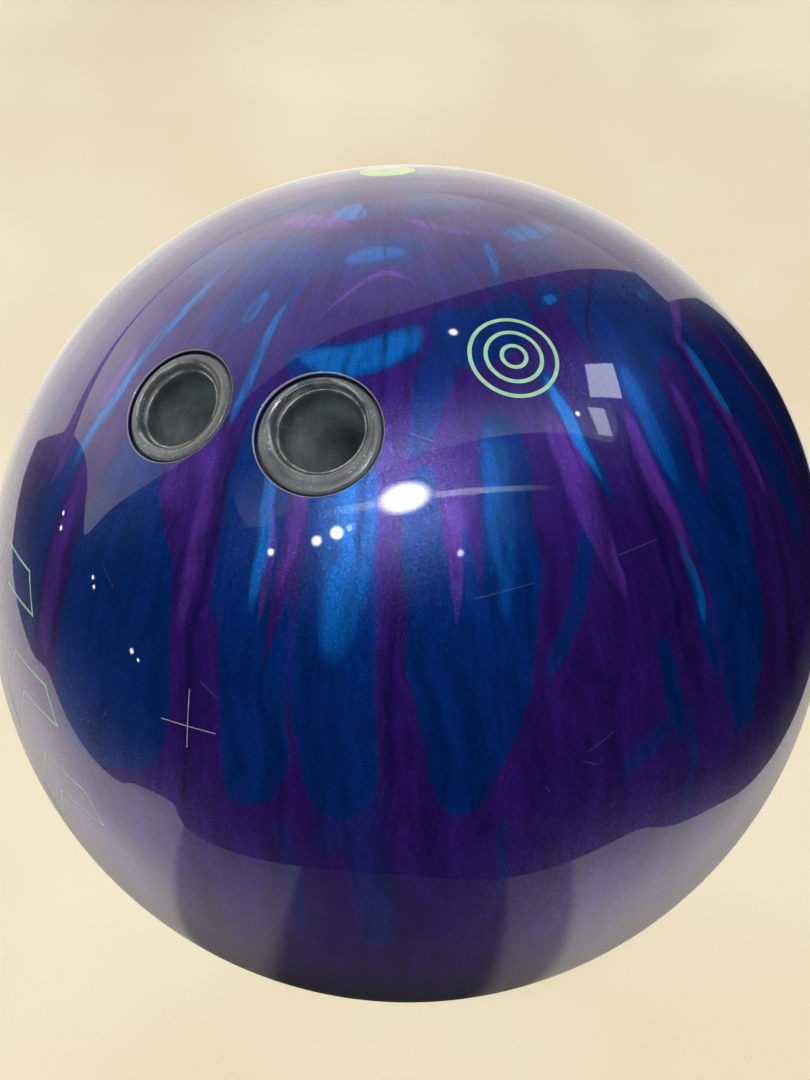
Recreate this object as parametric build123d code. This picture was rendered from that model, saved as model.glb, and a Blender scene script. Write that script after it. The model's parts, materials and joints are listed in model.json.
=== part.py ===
"""Ten-pin bowling ball, pearl coverstock, drilled for two fingers with no thumb hole.

The ball is centred on the origin and rests on a floor at z = -BALL_DIAMETER / 2.
Places on the surface are walked from the middle of the finger grip: so many
millimetres over the ball, on a heading measured in degrees from the line that
joins the two finger holes.  A heading of 0 points at the middle finger, and
positive headings turn clockwise when the ball is looked at from outside.
"""

import os
from math import cos, degrees, radians, sin, sqrt

from build123d import *

# ---------------------------------------------------------------- ball and cover
BALL_DIAMETER = 217.0
COVER_THICKNESS = 19.0

# ---------------------------------------------------------------- how it is lying
# Direction of the middle of the grip, as latitude and longitude on the resting
# ball, and the compass heading of the finger line there (0 = towards the top).
GRIP_LATITUDE = 72.8
GRIP_LONGITUDE = -153.9
FINGER_LINE_HEADING = 45.3

# ---------------------------------------------------------------- finger holes
FINGER_HOLE_DIAMETER = 22.225
FINGER_BRIDGE = 6.2
FINGER_HOLE_DEPTH = 57.0
HOLE_EDGE_BREAK = 0.3

# ---------------------------------------------------------------- vinyl finger inserts
# The bore of each insert is set off the centre of its hole: first towards the
# middle finger, then away from the palm.
INSERT_DIAMETER = 21.4
INSERT_BORE_DIAMETER = 14.7
INSERT_LENGTH = 38.0
INSERT_TOP_BELOW_SURFACE = 0.4
INSERT_LIP_WIDTH = 1.4
INSERT_LIP_ROUNDING = 0.6
FUNNEL_DEPTH = 2.0
FUNNEL_STEP = 0.4
MIDDLE_BORE_OFFSET = (-0.6, 1.3)
RING_BORE_OFFSET = (-0.8, 0.2)
ADHESIVE_TOP_BELOW_SURFACE = 1.6

# ---------------------------------------------------------------- weight block and pin
PIN_DIAMETER = 12.7
PIN_ARC = 79.5
PIN_HEADING = -94.3
BULB_RADIUS = 38.0
BULB_CENTRE = -18.0
NECK_RADIUS = 17.0
CAP_RADIUS = 23.0
CAP_BOTTOM = 46.0
CAP_TOP = 68.0
CAP_ROUNDING = 7.0
NECK_BLEND = 8.0

# ---------------------------------------------------------------- painted marks
MARK_DEPTH = 0.4
MARK_FILL_BELOW_SURFACE = 0.06
LOCATOR_ARC = 48.5
LOCATOR_HEADING = -30.8
LOCATOR_DIAMETERS = {"inner": 4.4, "middle": 10.1, "outer": 15.7}
LOCATOR_LINE = 0.75

# Grip-centre cross: two bare scribed lines.
CROSS_ARC = 55.0
CROSS_HEADING = 86.8
CROSS_ARM = 11.3
CROSS_LINE = 0.25
CROSS_DEPTH = 0.15
CROSS_TURN = 71.6
CROSS_ARM_SHIFT = 1.4

# Three painted outlines of plain chevrons, in a row on the flank of the ball.
CHEVRON_LINE = 0.5
CHEVRON_ARC = 84.0
CHEVRON_HEADING = 121.7
CHEVRON_TURN = 32.0
CHEVRON_HALF_WIDTH = 12.0
CHEVRON_RISE = 8.0
CHEVRON_BAND = 9.0
CHEVRON_SPACING = 22.0
CHEVRON_NAMES = ("upper", "middle", "lower")

BALL_RADIUS = BALL_DIAMETER / 2
CORE_RADIUS = BALL_RADIUS - COVER_THICKNESS
HOLE_RADIUS = FINGER_HOLE_DIAMETER / 2
TOOL_OVERRUN = 2.0


def direction(latitude: float, longitude: float) -> Vector:
    """Unit vector towards a latitude and longitude, in degrees, on the ball."""
    up, round_ = radians(latitude), radians(longitude)
    return Vector(cos(up) * cos(round_), cos(up) * sin(round_), sin(up))


def headed(at: Vector, heading: float) -> Vector:
    """Unit tangent at a place, on a heading clockwise from the way to the ball's top."""
    east = Vector(0, 0, 1).cross(at).normalized()
    north = at.cross(east)
    return north * cos(radians(heading)) + east * sin(radians(heading))


def plane_at(at: Vector, along: Vector) -> Plane:
    """Plane through the ball's centre, facing out at a place, with X along a tangent."""
    return Plane(origin=(0, 0, 0), x_dir=along, z_dir=at)


def walk(start: Vector, along: Vector, arc: float) -> Vector:
    """Unit vector reached by going arc millimetres over the ball from start."""
    angle = arc / BALL_RADIUS
    return start * cos(angle) + along * sin(angle)


def ring_tool(outer: float, inner: float, bottom: float, top: float) -> Part:
    """Tube along Z between two heights."""
    middle = (bottom + top) / 2
    height = top - bottom
    tube = Cylinder(outer, height) - Cylinder(inner, height)
    return Pos(0, 0, middle) * tube


def finger_hole_tool() -> Part:
    """Drilled hole down -Z from its mouth on the surface, as the material it removes."""
    height = FINGER_HOLE_DEPTH + 2 * TOOL_OVERRUN
    return Pos(0, 0, height / 2 - FINGER_HOLE_DEPTH) * Cylinder(HOLE_RADIUS, height)


def insert_blank() -> Part:
    """Solid plug the size of an insert, down -Z from above the surface."""
    height = INSERT_LENGTH + TOOL_OVERRUN
    return Pos(0, 0, height / 2 - INSERT_LENGTH) * Cylinder(INSERT_DIAMETER / 2, height)


def funnel_tool(tilt: float, bore_offset: tuple[float, float]) -> Part:
    """Off-centre bore with a wide stepped funnel mouth, as the material it removes.

    tilt is the angle in degrees from the hole's axis to straight up off the ball, about Y.
    """
    bore = INSERT_BORE_DIAMETER / 2
    mouth = INSERT_DIAMETER / 2 - INSERT_LIP_WIDTH
    slope = (mouth - bore - FUNNEL_STEP) / FUNNEL_DEPTH
    above = mouth + slope * TOOL_OVERRUN
    dx, dy = bore_offset
    top = Pos(0, 0, -INSERT_TOP_BELOW_SURFACE) * Rot(0, tilt, 0) * Circle(mouth)
    over = Pos(0, 0, -INSERT_TOP_BELOW_SURFACE) * Rot(0, tilt, 0) * Pos(0, 0, TOOL_OVERRUN) * Circle(above)
    foot = Pos(dx, dy, -FUNNEL_DEPTH) * Circle(bore + FUNNEL_STEP)
    end = Pos(dx, dy, -FUNNEL_DEPTH - FUNNEL_STEP) * Circle(bore)
    floor = Pos(dx, dy, -INSERT_LENGTH - TOOL_OVERRUN) * Circle(bore)
    return loft([over, top]) + loft([top, foot]) + loft([foot, end]) + loft([end, floor])


def adhesive_tube() -> Part:
    """Adhesive that fills the gap between an insert and the wall of its hole, down -Z."""
    return ring_tool(HOLE_RADIUS, INSERT_DIAMETER / 2, -INSERT_LENGTH, 0)


def weight_block() -> Part:
    """Light-bulb shaped weight block along +Z: a round bulb, a neck and a rounded cap."""
    shoulder = BULB_CENTRE + sqrt(BULB_RADIUS**2 - NECK_RADIUS**2)
    bulb = Pos(0, 0, BULB_CENTRE) * Sphere(BULB_RADIUS)
    neck = Pos(0, 0, (BULB_CENTRE + CAP_TOP) / 2) * Cylinder(NECK_RADIUS, CAP_TOP - BULB_CENTRE)
    cap = Pos(0, 0, (CAP_BOTTOM + CAP_TOP) / 2) * Cylinder(CAP_RADIUS, CAP_TOP - CAP_BOTTOM)
    cap = fillet(cap.edges().filter_by(GeomType.CIRCLE), CAP_ROUNDING)
    block = bulb + neck + cap
    waist = [e for e in block.edges().filter_by(GeomType.CIRCLE) if abs(e.center().Z - shoulder) < 0.01]
    return fillet(waist, NECK_BLEND)


def core_pin() -> Part:
    """Pin along +Z from the top of the weight block out to the surface of the ball."""
    length = BALL_RADIUS + TOOL_OVERRUN - CAP_TOP
    rod = Pos(0, 0, CAP_TOP + length / 2) * Cylinder(PIN_DIAMETER / 2, length)
    return rod & Sphere(BALL_RADIUS)


def locator_ring(diameter: float) -> Part:
    """Shallow round groove about +Z, as the material it removes."""
    outer = diameter / 2 + LOCATOR_LINE / 2
    inner = diameter / 2 - LOCATOR_LINE / 2
    tube = ring_tool(outer, inner, BALL_RADIUS - 2 * TOOL_OVERRUN, BALL_RADIUS + TOOL_OVERRUN)
    return tube - Sphere(BALL_RADIUS - MARK_DEPTH)


def chevron_outline(offset_y: float) -> Part:
    """Closed outline of one chevron facing +Z, as the material its groove removes."""
    points = [
        (-CHEVRON_HALF_WIDTH, 0),
        (0, CHEVRON_RISE),
        (CHEVRON_HALF_WIDTH, 0),
        (CHEVRON_HALF_WIDTH, CHEVRON_BAND),
        (0, CHEVRON_RISE + CHEVRON_BAND),
        (-CHEVRON_HALF_WIDTH, CHEVRON_BAND),
    ]
    shape = make_face(Polyline(*points, close=True))
    inside = offset(shape, -CHEVRON_LINE, kind=Kind.INTERSECTION)
    flat = Pos(0, offset_y, BALL_RADIUS - 6 * TOOL_OVERRUN) * (shape - inside)
    return extrude(flat, 8 * TOOL_OVERRUN) - Sphere(BALL_RADIUS - MARK_DEPTH)


def cross_tool() -> Part:
    """Two scribed lines crossing on +Z, as the material they remove."""
    tall = 3 * TOOL_OVERRUN
    along = Box(CROSS_ARM, CROSS_LINE, tall)
    across = Pos(0, CROSS_ARM_SHIFT, 0) * Box(CROSS_LINE, CROSS_ARM, tall)
    lines = Pos(0, 0, BALL_RADIUS) * (along + across)
    return lines - Sphere(BALL_RADIUS - CROSS_DEPTH)


def mark_fill(groove: Part) -> Part:
    """Paint that fills a groove to just under the surface of the ball."""
    return groove & Sphere(BALL_RADIUS - MARK_FILL_BELOW_SURFACE)


# ---------------------------------------------------------------- places on the ball
grip = direction(GRIP_LATITUDE, GRIP_LONGITUDE)
finger_line = headed(grip, FINGER_LINE_HEADING)
half_span = (FINGER_HOLE_DIAMETER + FINGER_BRIDGE) / 2
drill_tilt = degrees(half_span / BALL_RADIUS)


def from_grip(arc: float, heading: float) -> Vector:
    """Place on the ball reached from the middle of the grip."""
    return walk(grip, headed(grip, FINGER_LINE_HEADING + heading), arc)


def facing(at: Vector, turn: float = 0.0) -> Plane:
    """Working plane through the ball's centre, with X on a compass heading."""
    return plane_at(at, headed(at, turn))


def drilled(arc: float) -> Plane:
    """Working plane at a finger hole's mouth: Z out along the drilled axis, X to the middle finger.

    Both finger holes are drilled along the direction of the grip, so they run parallel.
    """
    return Plane(origin=walk(grip, finger_line, arc) * BALL_RADIUS, x_dir=finger_line, z_dir=grip)


middle_finger = drilled(half_span)
ring_finger = drilled(-half_span)
pin = facing(from_grip(PIN_ARC, PIN_HEADING))
locator = facing(from_grip(LOCATOR_ARC, LOCATOR_HEADING))
cross = facing(from_grip(CROSS_ARC, CROSS_HEADING), CROSS_TURN)
chevrons = facing(from_grip(CHEVRON_ARC, CHEVRON_HEADING), CHEVRON_TURN)


def fitted_insert(place: Plane, tilt: float, bore_offset: tuple[float, float]) -> Part:
    """Insert in its hole, trimmed to the ball, with a rounded lip around its funnel."""
    plug = place.location * insert_blank()
    plug = plug & Sphere(BALL_RADIUS - INSERT_TOP_BELOW_SURFACE)
    lip = plug.edges().sort_by_distance(place.origin)[0]
    plug = fillet(lip, INSERT_LIP_ROUNDING)
    return plug - place.location * funnel_tool(tilt, bore_offset)


def fitted_adhesive(place: Plane) -> Part:
    """Adhesive in its hole, stopping short of the surface of the ball."""
    return place.location * adhesive_tube() & Sphere(BALL_RADIUS - ADHESIVE_TOP_BELOW_SURFACE)


# ---------------------------------------------------------------- pieces
parts = {}

block = pin.location * weight_block()
dowel = pin.location * core_pin()
holes = [middle_finger.location * finger_hole_tool(), ring_finger.location * finger_hole_tool()]
rings = {name: locator.location * locator_ring(size) for name, size in LOCATOR_DIAMETERS.items()}
outlines = {
    name: chevrons.location * chevron_outline((1 - index) * CHEVRON_SPACING)
    for index, name in enumerate(CHEVRON_NAMES)
}

filler = Sphere(CORE_RADIUS) - block
cover = Sphere(BALL_RADIUS) - Sphere(CORE_RADIUS)
for hole in holes:
    filler -= hole
    cover -= hole
rims = [
    e
    for e in cover.edges()
    if abs((e @ 0).length - BALL_RADIUS) < 0.01
    and min(((e @ 0) - place.origin).length for place in (middle_finger, ring_finger)) < 2 * HOLE_RADIUS
]
rims = [e for e in rims if e.length > HOLE_RADIUS]
cover = chamfer(rims, HOLE_EDGE_BREAK)
pin_bore = pin.location * Pos(0, 0, BALL_RADIUS) * Cylinder(PIN_DIAMETER / 2, 2 * (BALL_RADIUS - CAP_TOP))
filler -= pin_bore
cover -= pin_bore
for removed in [*rings.values(), *outlines.values(), cross.location * cross_tool()]:
    cover -= removed

parts["coverstock"] = cover
parts["outer_core"] = filler
parts["weight_block"] = block
parts["core_pin"] = dowel
parts["middle_finger_insert"] = fitted_insert(middle_finger, drill_tilt, MIDDLE_BORE_OFFSET)
parts["ring_finger_insert"] = fitted_insert(ring_finger, -drill_tilt, RING_BORE_OFFSET)
parts["middle_finger_adhesive"] = fitted_adhesive(middle_finger)
parts["ring_finger_adhesive"] = fitted_adhesive(ring_finger)
for name, groove in rings.items():
    parts[f"locator_ring_{name}"] = mark_fill(groove)
for name, groove in outlines.items():
    parts[f"chevron_outline_{name}"] = mark_fill(groove)

os.makedirs("parts", exist_ok=True)
for name, shape in parts.items():
    export_step(shape, f"parts/{name}.step")
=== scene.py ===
"""Bowling ball with a blue and violet pearl cover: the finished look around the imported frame.

The ball's centre is the origin, lengths are in metres and the floor is flat under the ball.
Places on the cover are given as an azimuth round the pin's axis, in degrees, with 0 facing the
viewer and positive to the right, and a polar angle down from the pin.
"""

import json
import logging
import math
from collections.abc import Sequence
from dataclasses import dataclass, field
from enum import Enum

import bmesh
import bpy
import numpy as np
from mathutils import Matrix, Vector


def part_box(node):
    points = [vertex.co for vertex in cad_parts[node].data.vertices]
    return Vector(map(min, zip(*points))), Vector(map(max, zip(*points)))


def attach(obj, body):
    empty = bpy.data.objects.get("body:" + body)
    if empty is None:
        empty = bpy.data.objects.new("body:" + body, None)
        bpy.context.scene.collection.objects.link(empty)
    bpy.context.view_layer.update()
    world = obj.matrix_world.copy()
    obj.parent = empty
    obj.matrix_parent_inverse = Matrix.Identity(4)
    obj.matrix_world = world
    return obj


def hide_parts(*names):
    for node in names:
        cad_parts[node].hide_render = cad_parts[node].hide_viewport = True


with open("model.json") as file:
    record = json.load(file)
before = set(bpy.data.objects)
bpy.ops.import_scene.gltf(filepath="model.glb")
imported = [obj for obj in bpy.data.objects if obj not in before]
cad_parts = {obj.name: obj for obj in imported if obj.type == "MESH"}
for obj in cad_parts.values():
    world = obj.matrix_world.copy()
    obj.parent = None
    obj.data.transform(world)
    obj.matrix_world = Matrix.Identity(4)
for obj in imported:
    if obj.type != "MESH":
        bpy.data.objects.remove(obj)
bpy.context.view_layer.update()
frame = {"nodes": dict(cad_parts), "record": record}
LOG = logging.getLogger("bowling_ball")

MM = 0.001
BODY = "root"

Colour = tuple[float, float, float]
Number = "float | Value"

X_AXIS = Vector((1.0, 0.0, 0.0))
Y_AXIS = Vector((0.0, 1.0, 0.0))
Z_AXIS = Vector((0.0, 0.0, 1.0))
MIDDLE_GREY = Vector((0.5, 0.5, 0.5))


# ------------------------------------------------------------------ shader sockets
@dataclass(frozen=True)
class Value:
    """A shader's number: an output socket that takes part in Python arithmetic."""

    shader: "Shader"
    socket: bpy.types.NodeSocket

    def __add__(self, other: Number) -> "Value":
        """Sum."""
        return self.shader.math("ADD", self, other)

    def __sub__(self, other: Number) -> "Value":
        """Difference."""
        return self.shader.math("SUBTRACT", self, other)

    def __rsub__(self, other: Number) -> "Value":
        """Difference, with the number first."""
        return self.shader.math("SUBTRACT", other, self)

    def __mul__(self, other: Number) -> "Value":
        """Product."""
        return self.shader.math("MULTIPLY", self, other)

    def __truediv__(self, other: Number) -> "Value":
        """Quotient."""
        return self.shader.math("DIVIDE", self, other)

    def __abs__(self) -> "Value":
        """Size without sign."""
        return self.shader.math("ABSOLUTE", self)

    __radd__ = __add__
    __rmul__ = __mul__

    def max(self, other: Number) -> "Value":
        """The larger of the two."""
        return self.shader.math("MAXIMUM", self, other)

    def step(self, low: float, high: float, start: float = 0.0, end: float = 1.0) -> "Value":
        """Smooth step.

        Args:
            low: Value at which the step starts; it may be above high.
            high: Value at which the step ends.
            start: Result at low.
            end: Result at high.

        Returns:
            The stepped value.
        """
        settings = {"interpolation_type": "SMOOTHSTEP"}
        inputs = {"Value": self, "From Min": low, "From Max": high, "To Min": start, "To Max": end}
        return Value(self.shader, self.shader.node("ShaderNodeMapRange", settings, inputs).outputs["Result"])


@dataclass(frozen=True)
class Direction:
    """A shader's vector: an output socket with the vector arithmetic that the finishes use."""

    shader: "Shader"
    socket: bpy.types.NodeSocket

    def __add__(self, other: "Direction | Vector") -> "Direction":
        """Sum."""
        return self.shader.vector_math("ADD", self, other)

    def __sub__(self, other: "Direction | Vector") -> "Direction":
        """Difference."""
        return self.shader.vector_math("SUBTRACT", self, other)

    def scaled(self, by: Number) -> "Direction":
        """The vector times a number."""
        node = self.shader.node("ShaderNodeVectorMath", {"operation": "SCALE"}, {0: self, "Scale": by})
        return Direction(self.shader, node.outputs[0])

    def dot(self, other: "Direction | Vector") -> Value:
        """Dot product."""
        node = self.shader.node("ShaderNodeVectorMath", {"operation": "DOT_PRODUCT"}, {0: self, 1: other})
        return Value(self.shader, node.outputs["Value"])

    def length(self) -> Value:
        """Length."""
        node = self.shader.node("ShaderNodeVectorMath", {"operation": "LENGTH"}, {0: self})
        return Value(self.shader, node.outputs["Value"])

    def unit(self) -> "Direction":
        """The vector made one long."""
        return self.shader.vector_math("NORMALIZE", self)


class Shader:
    """A material under construction."""

    def __init__(self, name: str) -> None:
        """Starts an empty material.

        Args:
            name: The material's name.
        """
        self.material = bpy.data.materials.new(name)
        self.material.use_nodes = True
        self.tree = self.material.node_tree
        self.tree.nodes.clear()

    def node(self, kind: str, settings: dict | None = None, inputs: dict | None = None) -> bpy.types.Node:
        """Adds a node.

        Args:
            kind: The node's type.
            settings: Its settings, set first.
            inputs: Values or links of its sockets, by name or number.

        Returns:
            The node.
        """
        made = self.tree.nodes.new(kind)
        for name, value in (settings or {}).items():
            setattr(made, name, value)
        for name, value in (inputs or {}).items():
            self._feed(made.inputs[name], value)
        return made

    def _feed(self, socket: bpy.types.NodeSocket, value: object) -> None:
        """Links or sets one input socket.

        Args:
            socket: The input socket.
            value: A wrapped socket, a bare socket, or a plain value.
        """
        if isinstance(value, (Value, Direction)):
            self.tree.links.new(value.socket, socket)
        elif isinstance(value, bpy.types.NodeSocket):
            self.tree.links.new(value, socket)
        elif socket.type == "RGBA":
            socket.default_value = (*value, 1.0)
        else:
            socket.default_value = value

    def math(self, operation: str, *values: Number) -> Value:
        """Adds a Math node.

        Args:
            operation: Its operation.
            values: Its operands.

        Returns:
            The result.
        """
        made = self.node("ShaderNodeMath", {"operation": operation}, dict(enumerate(values)))
        return Value(self, made.outputs[0])

    def vector_math(self, operation: str, *vectors: "Direction | Vector") -> Direction:
        """Adds a Vector Math node.

        Args:
            operation: Its operation.
            vectors: Its operands.

        Returns:
            The result.
        """
        made = self.node("ShaderNodeVectorMath", {"operation": operation}, dict(enumerate(vectors)))
        return Direction(self, made.outputs[0])

    def position(self) -> Direction:
        """The place on the piece, in metres from the ball's centre."""
        return Direction(self, self.node("ShaderNodeTexCoord").outputs["Object"])

    def scaled_axis(self, axis: Vector, by: Number) -> Direction:
        """A fixed vector times a number."""
        made = self.node("ShaderNodeVectorMath", {"operation": "SCALE"}, {0: axis, "Scale": by})
        return Direction(self, made.outputs[0])

    def mix(self, amount: Number, low: object, high: object) -> bpy.types.NodeSocket:
        """Mixes two colours.

        Args:
            amount: 0 for low, 1 for high.
            low: First colour or socket.
            high: Second colour or socket.

        Returns:
            The mixed colour's socket.
        """
        made = self.node("ShaderNodeMix", {"data_type": "RGBA"}, {0: amount, 6: low, 7: high})
        return made.outputs[2]

    def brighten(self, colour: object, by: Number) -> bpy.types.NodeSocket:
        """Multiplies a colour by a number."""
        return Direction(self, self._as_socket(colour)).scaled(by).socket

    def _as_socket(self, colour: object) -> bpy.types.NodeSocket:
        """A colour as a socket, through a plain mix where it is a constant."""
        return colour if isinstance(colour, bpy.types.NodeSocket) else self.mix(0.0, colour, colour)

    def noise(self, at: Direction, scale: float, detail: float = 2.0, rough: float = 0.5) -> bpy.types.Node:
        """Adds a noise pattern.

        Args:
            at: Where it is read.
            scale: Its scale.
            detail: Octaves.
            rough: Weight of the finer octaves.

        Returns:
            The noise node.
        """
        inputs = {"Vector": at, "Scale": scale, "Detail": detail, "Roughness": rough}
        return self.node("ShaderNodeTexNoise", {"noise_dimensions": "3D"}, inputs)

    def noise_value(self, at: Direction, scale: float, detail: float = 2.0, rough: float = 0.5) -> Value:
        """The value of a noise pattern, about 0.5 on average."""
        return Value(self, self.noise(at, scale, detail, rough).outputs["Fac"])

    def bump(self, height: Value, distance: float, strength: float = 1.0) -> Direction:
        """Adds a bump.

        Args:
            height: Height field, 0 to 1.
            distance: Height of 1, in metres.
            strength: Share of the effect.

        Returns:
            The bumped normal.
        """
        made = self.node("ShaderNodeBump", {}, {"Height": height, "Distance": distance, "Strength": strength})
        return Direction(self, made.outputs[0])

    def finish(
        self, inputs: dict, film: bpy.types.Node | None = None, share: Value | None = None
    ) -> bpy.types.Material:
        """Closes the material with a Principled surface.

        Args:
            inputs: Values or links of the Principled shader's sockets.
            film: Another surface to mix in, if any.
            share: How much of it.

        Returns:
            The material.
        """
        surface = self.node("ShaderNodeBsdfPrincipled", {}, inputs)
        if film is not None:
            layers = {0: share, 1: surface.outputs[0], 2: film.outputs[0]}
            surface = self.node("ShaderNodeMixShader", {}, layers)
        self.node("ShaderNodeOutputMaterial", {}, {"Surface": surface.outputs[0]})
        return self.material

    def glow(
        self, colour: object, strength: float, lights: bool = False, cover: Value | float = 1.0
    ) -> bpy.types.Material:
        """Closes the material as a black surface that gives off light.

        Args:
            colour: Colour of the light, which may vary.
            strength: Its strength.
            lights: Whether it is sampled as a lamp.
            cover: How much it hides what is behind it.

        Returns:
            The material.
        """
        made = self.finish(
            {
                "Base Color": (0.0, 0.0, 0.0),
                "Alpha": cover,
                "Roughness": 1.0,
                "Specular IOR Level": 0.0,
                "Emission Color": colour,
                "Emission Strength": strength,
            }
        )
        made.cycles.emission_sampling = "FRONT_BACK" if lights else "NONE"
        return made


# ------------------------------------------------------------------ places taken from the frame
def node_points(name: str) -> np.ndarray:
    """The vertices of a CAD node.

    Args:
        name: The node's name.

    Returns:
        The points, in metres.
    """
    mesh = frame["nodes"][name].data
    found = np.empty(len(mesh.vertices) * 3)
    mesh.vertices.foreach_get("co", found)
    return found.reshape(-1, 3)


def unit(vector: Sequence[float]) -> Vector:
    """A vector made one long."""
    return Vector(vector).normalized()


def middle_direction(name: str) -> Vector:
    """The direction of the middle of a CAD node's box of points from the ball's centre."""
    return unit(node_points(name).mean(axis=0))


@dataclass(frozen=True)
class BallLayout:
    """The ball's size and the directions of its features, all read from the frame."""

    radius: float = (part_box("coverstock")[1].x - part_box("coverstock")[0].x) / 2
    core_radius: float = (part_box("outer_core")[1].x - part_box("outer_core")[0].x) / 2
    pin: Vector = field(default_factory=lambda: middle_direction("core_pin"))
    viewer_elevation: float = 67.0

    @property
    def viewer(self) -> Vector:
        """Direction from the ball's centre to the viewer."""
        lift = math.radians(self.viewer_elevation)
        return Vector((0.0, -math.cos(lift), math.sin(lift)))

    @property
    def front(self) -> Vector:
        """Direction of azimuth 0, square to the pin."""
        return (self.viewer - self.pin * self.viewer.dot(self.pin)).normalized()

    @property
    def right(self) -> Vector:
        """Direction of azimuth 90, square to the pin."""
        return self.pin.cross(self.front).normalized()


LAYOUT = BallLayout()


# ------------------------------------------------------------------ pearl pattern
class Tone(Enum):
    """The pigments poured into the cover, and the painted flashes of its flakes, in the order in which they
    cover each other.
    """

    BLUE = "blue"
    VIOLET = "violet"
    PAINTED_MAUVE_FLASH = "mauve_flash_and_blush"
    FLASH = "painted_flash"
    DUSK = "dusk"


class Way(Enum):
    """Which way a streak runs."""

    DOWN = "down from the pin"
    ROUND = "round the pin"


Three = tuple[float, float, float]


@dataclass(frozen=True)
class Streak:
    """One poured streak of pigment, or of painted flashes, all in degrees.

    Attributes:
        tone: Its pigment, or its painted flashes.
        start: Polar angle where it starts, or azimuth if it runs round the pin.
        end: Where it ends.
        line: Azimuth of its middle line at its start, halfway and end, or polar angle if it runs round.
        half: Half its width at its start, halfway and end.
        depth: Strength, 0 to 1.
        blur: Width over which its edge fades.
        way: Which way it runs.
    """

    tone: Tone
    start: float
    end: float
    line: Three
    half: Three
    depth: float = 1.0
    blur: float = 0.8
    way: Way = Way.DOWN

    def mask(self, shader: Shader, azimuth: Value, polar: Value) -> Value:
        """Where the streak is.

        Args:
            shader: The material.
            azimuth: Azimuth, in degrees.
            polar: Polar angle, in degrees.

        Returns:
            Its strength, 0 to 1.
        """
        run, aside = (polar, azimuth) if self.way is Way.DOWN else (azimuth, polar)
        half = (self.end - self.start) / 2
        along = shader.math("MULTIPLY_ADD", run, 1 / half, -(self.start + half) / half)
        square = along * along
        middle = self._curve(shader, along, square, self.line)
        across = (aside - middle) / self._curve(shader, along, square, self.half)
        taper = square * square if self.tone is Tone.BLUE else square
        edge = shader.math("MULTIPLY_ADD", taper, taper, across * across)
        soft = min(0.85, self.blur / self.half[1])
        return edge.step(1 + soft, 1 - soft, 0.0, self.depth)

    def _curve(self, shader: Shader, along: Value, square: Value, ends: Three) -> Value:
        """A smooth curve through three values, at the streak's start, halfway and end.

        Args:
            shader: The material.
            along: Place along the streak, -1 to 1.
            square: Its square.
            ends: The three values.

        Returns:
            The value at the place.
        """
        first, middle, last = ends
        sloped = shader.math("MULTIPLY_ADD", along, (last - first) / 2, middle)
        bend = (first + last) / 2 - middle
        return shader.math("MULTIPLY_ADD", square, bend, sloped) if bend else sloped


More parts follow.
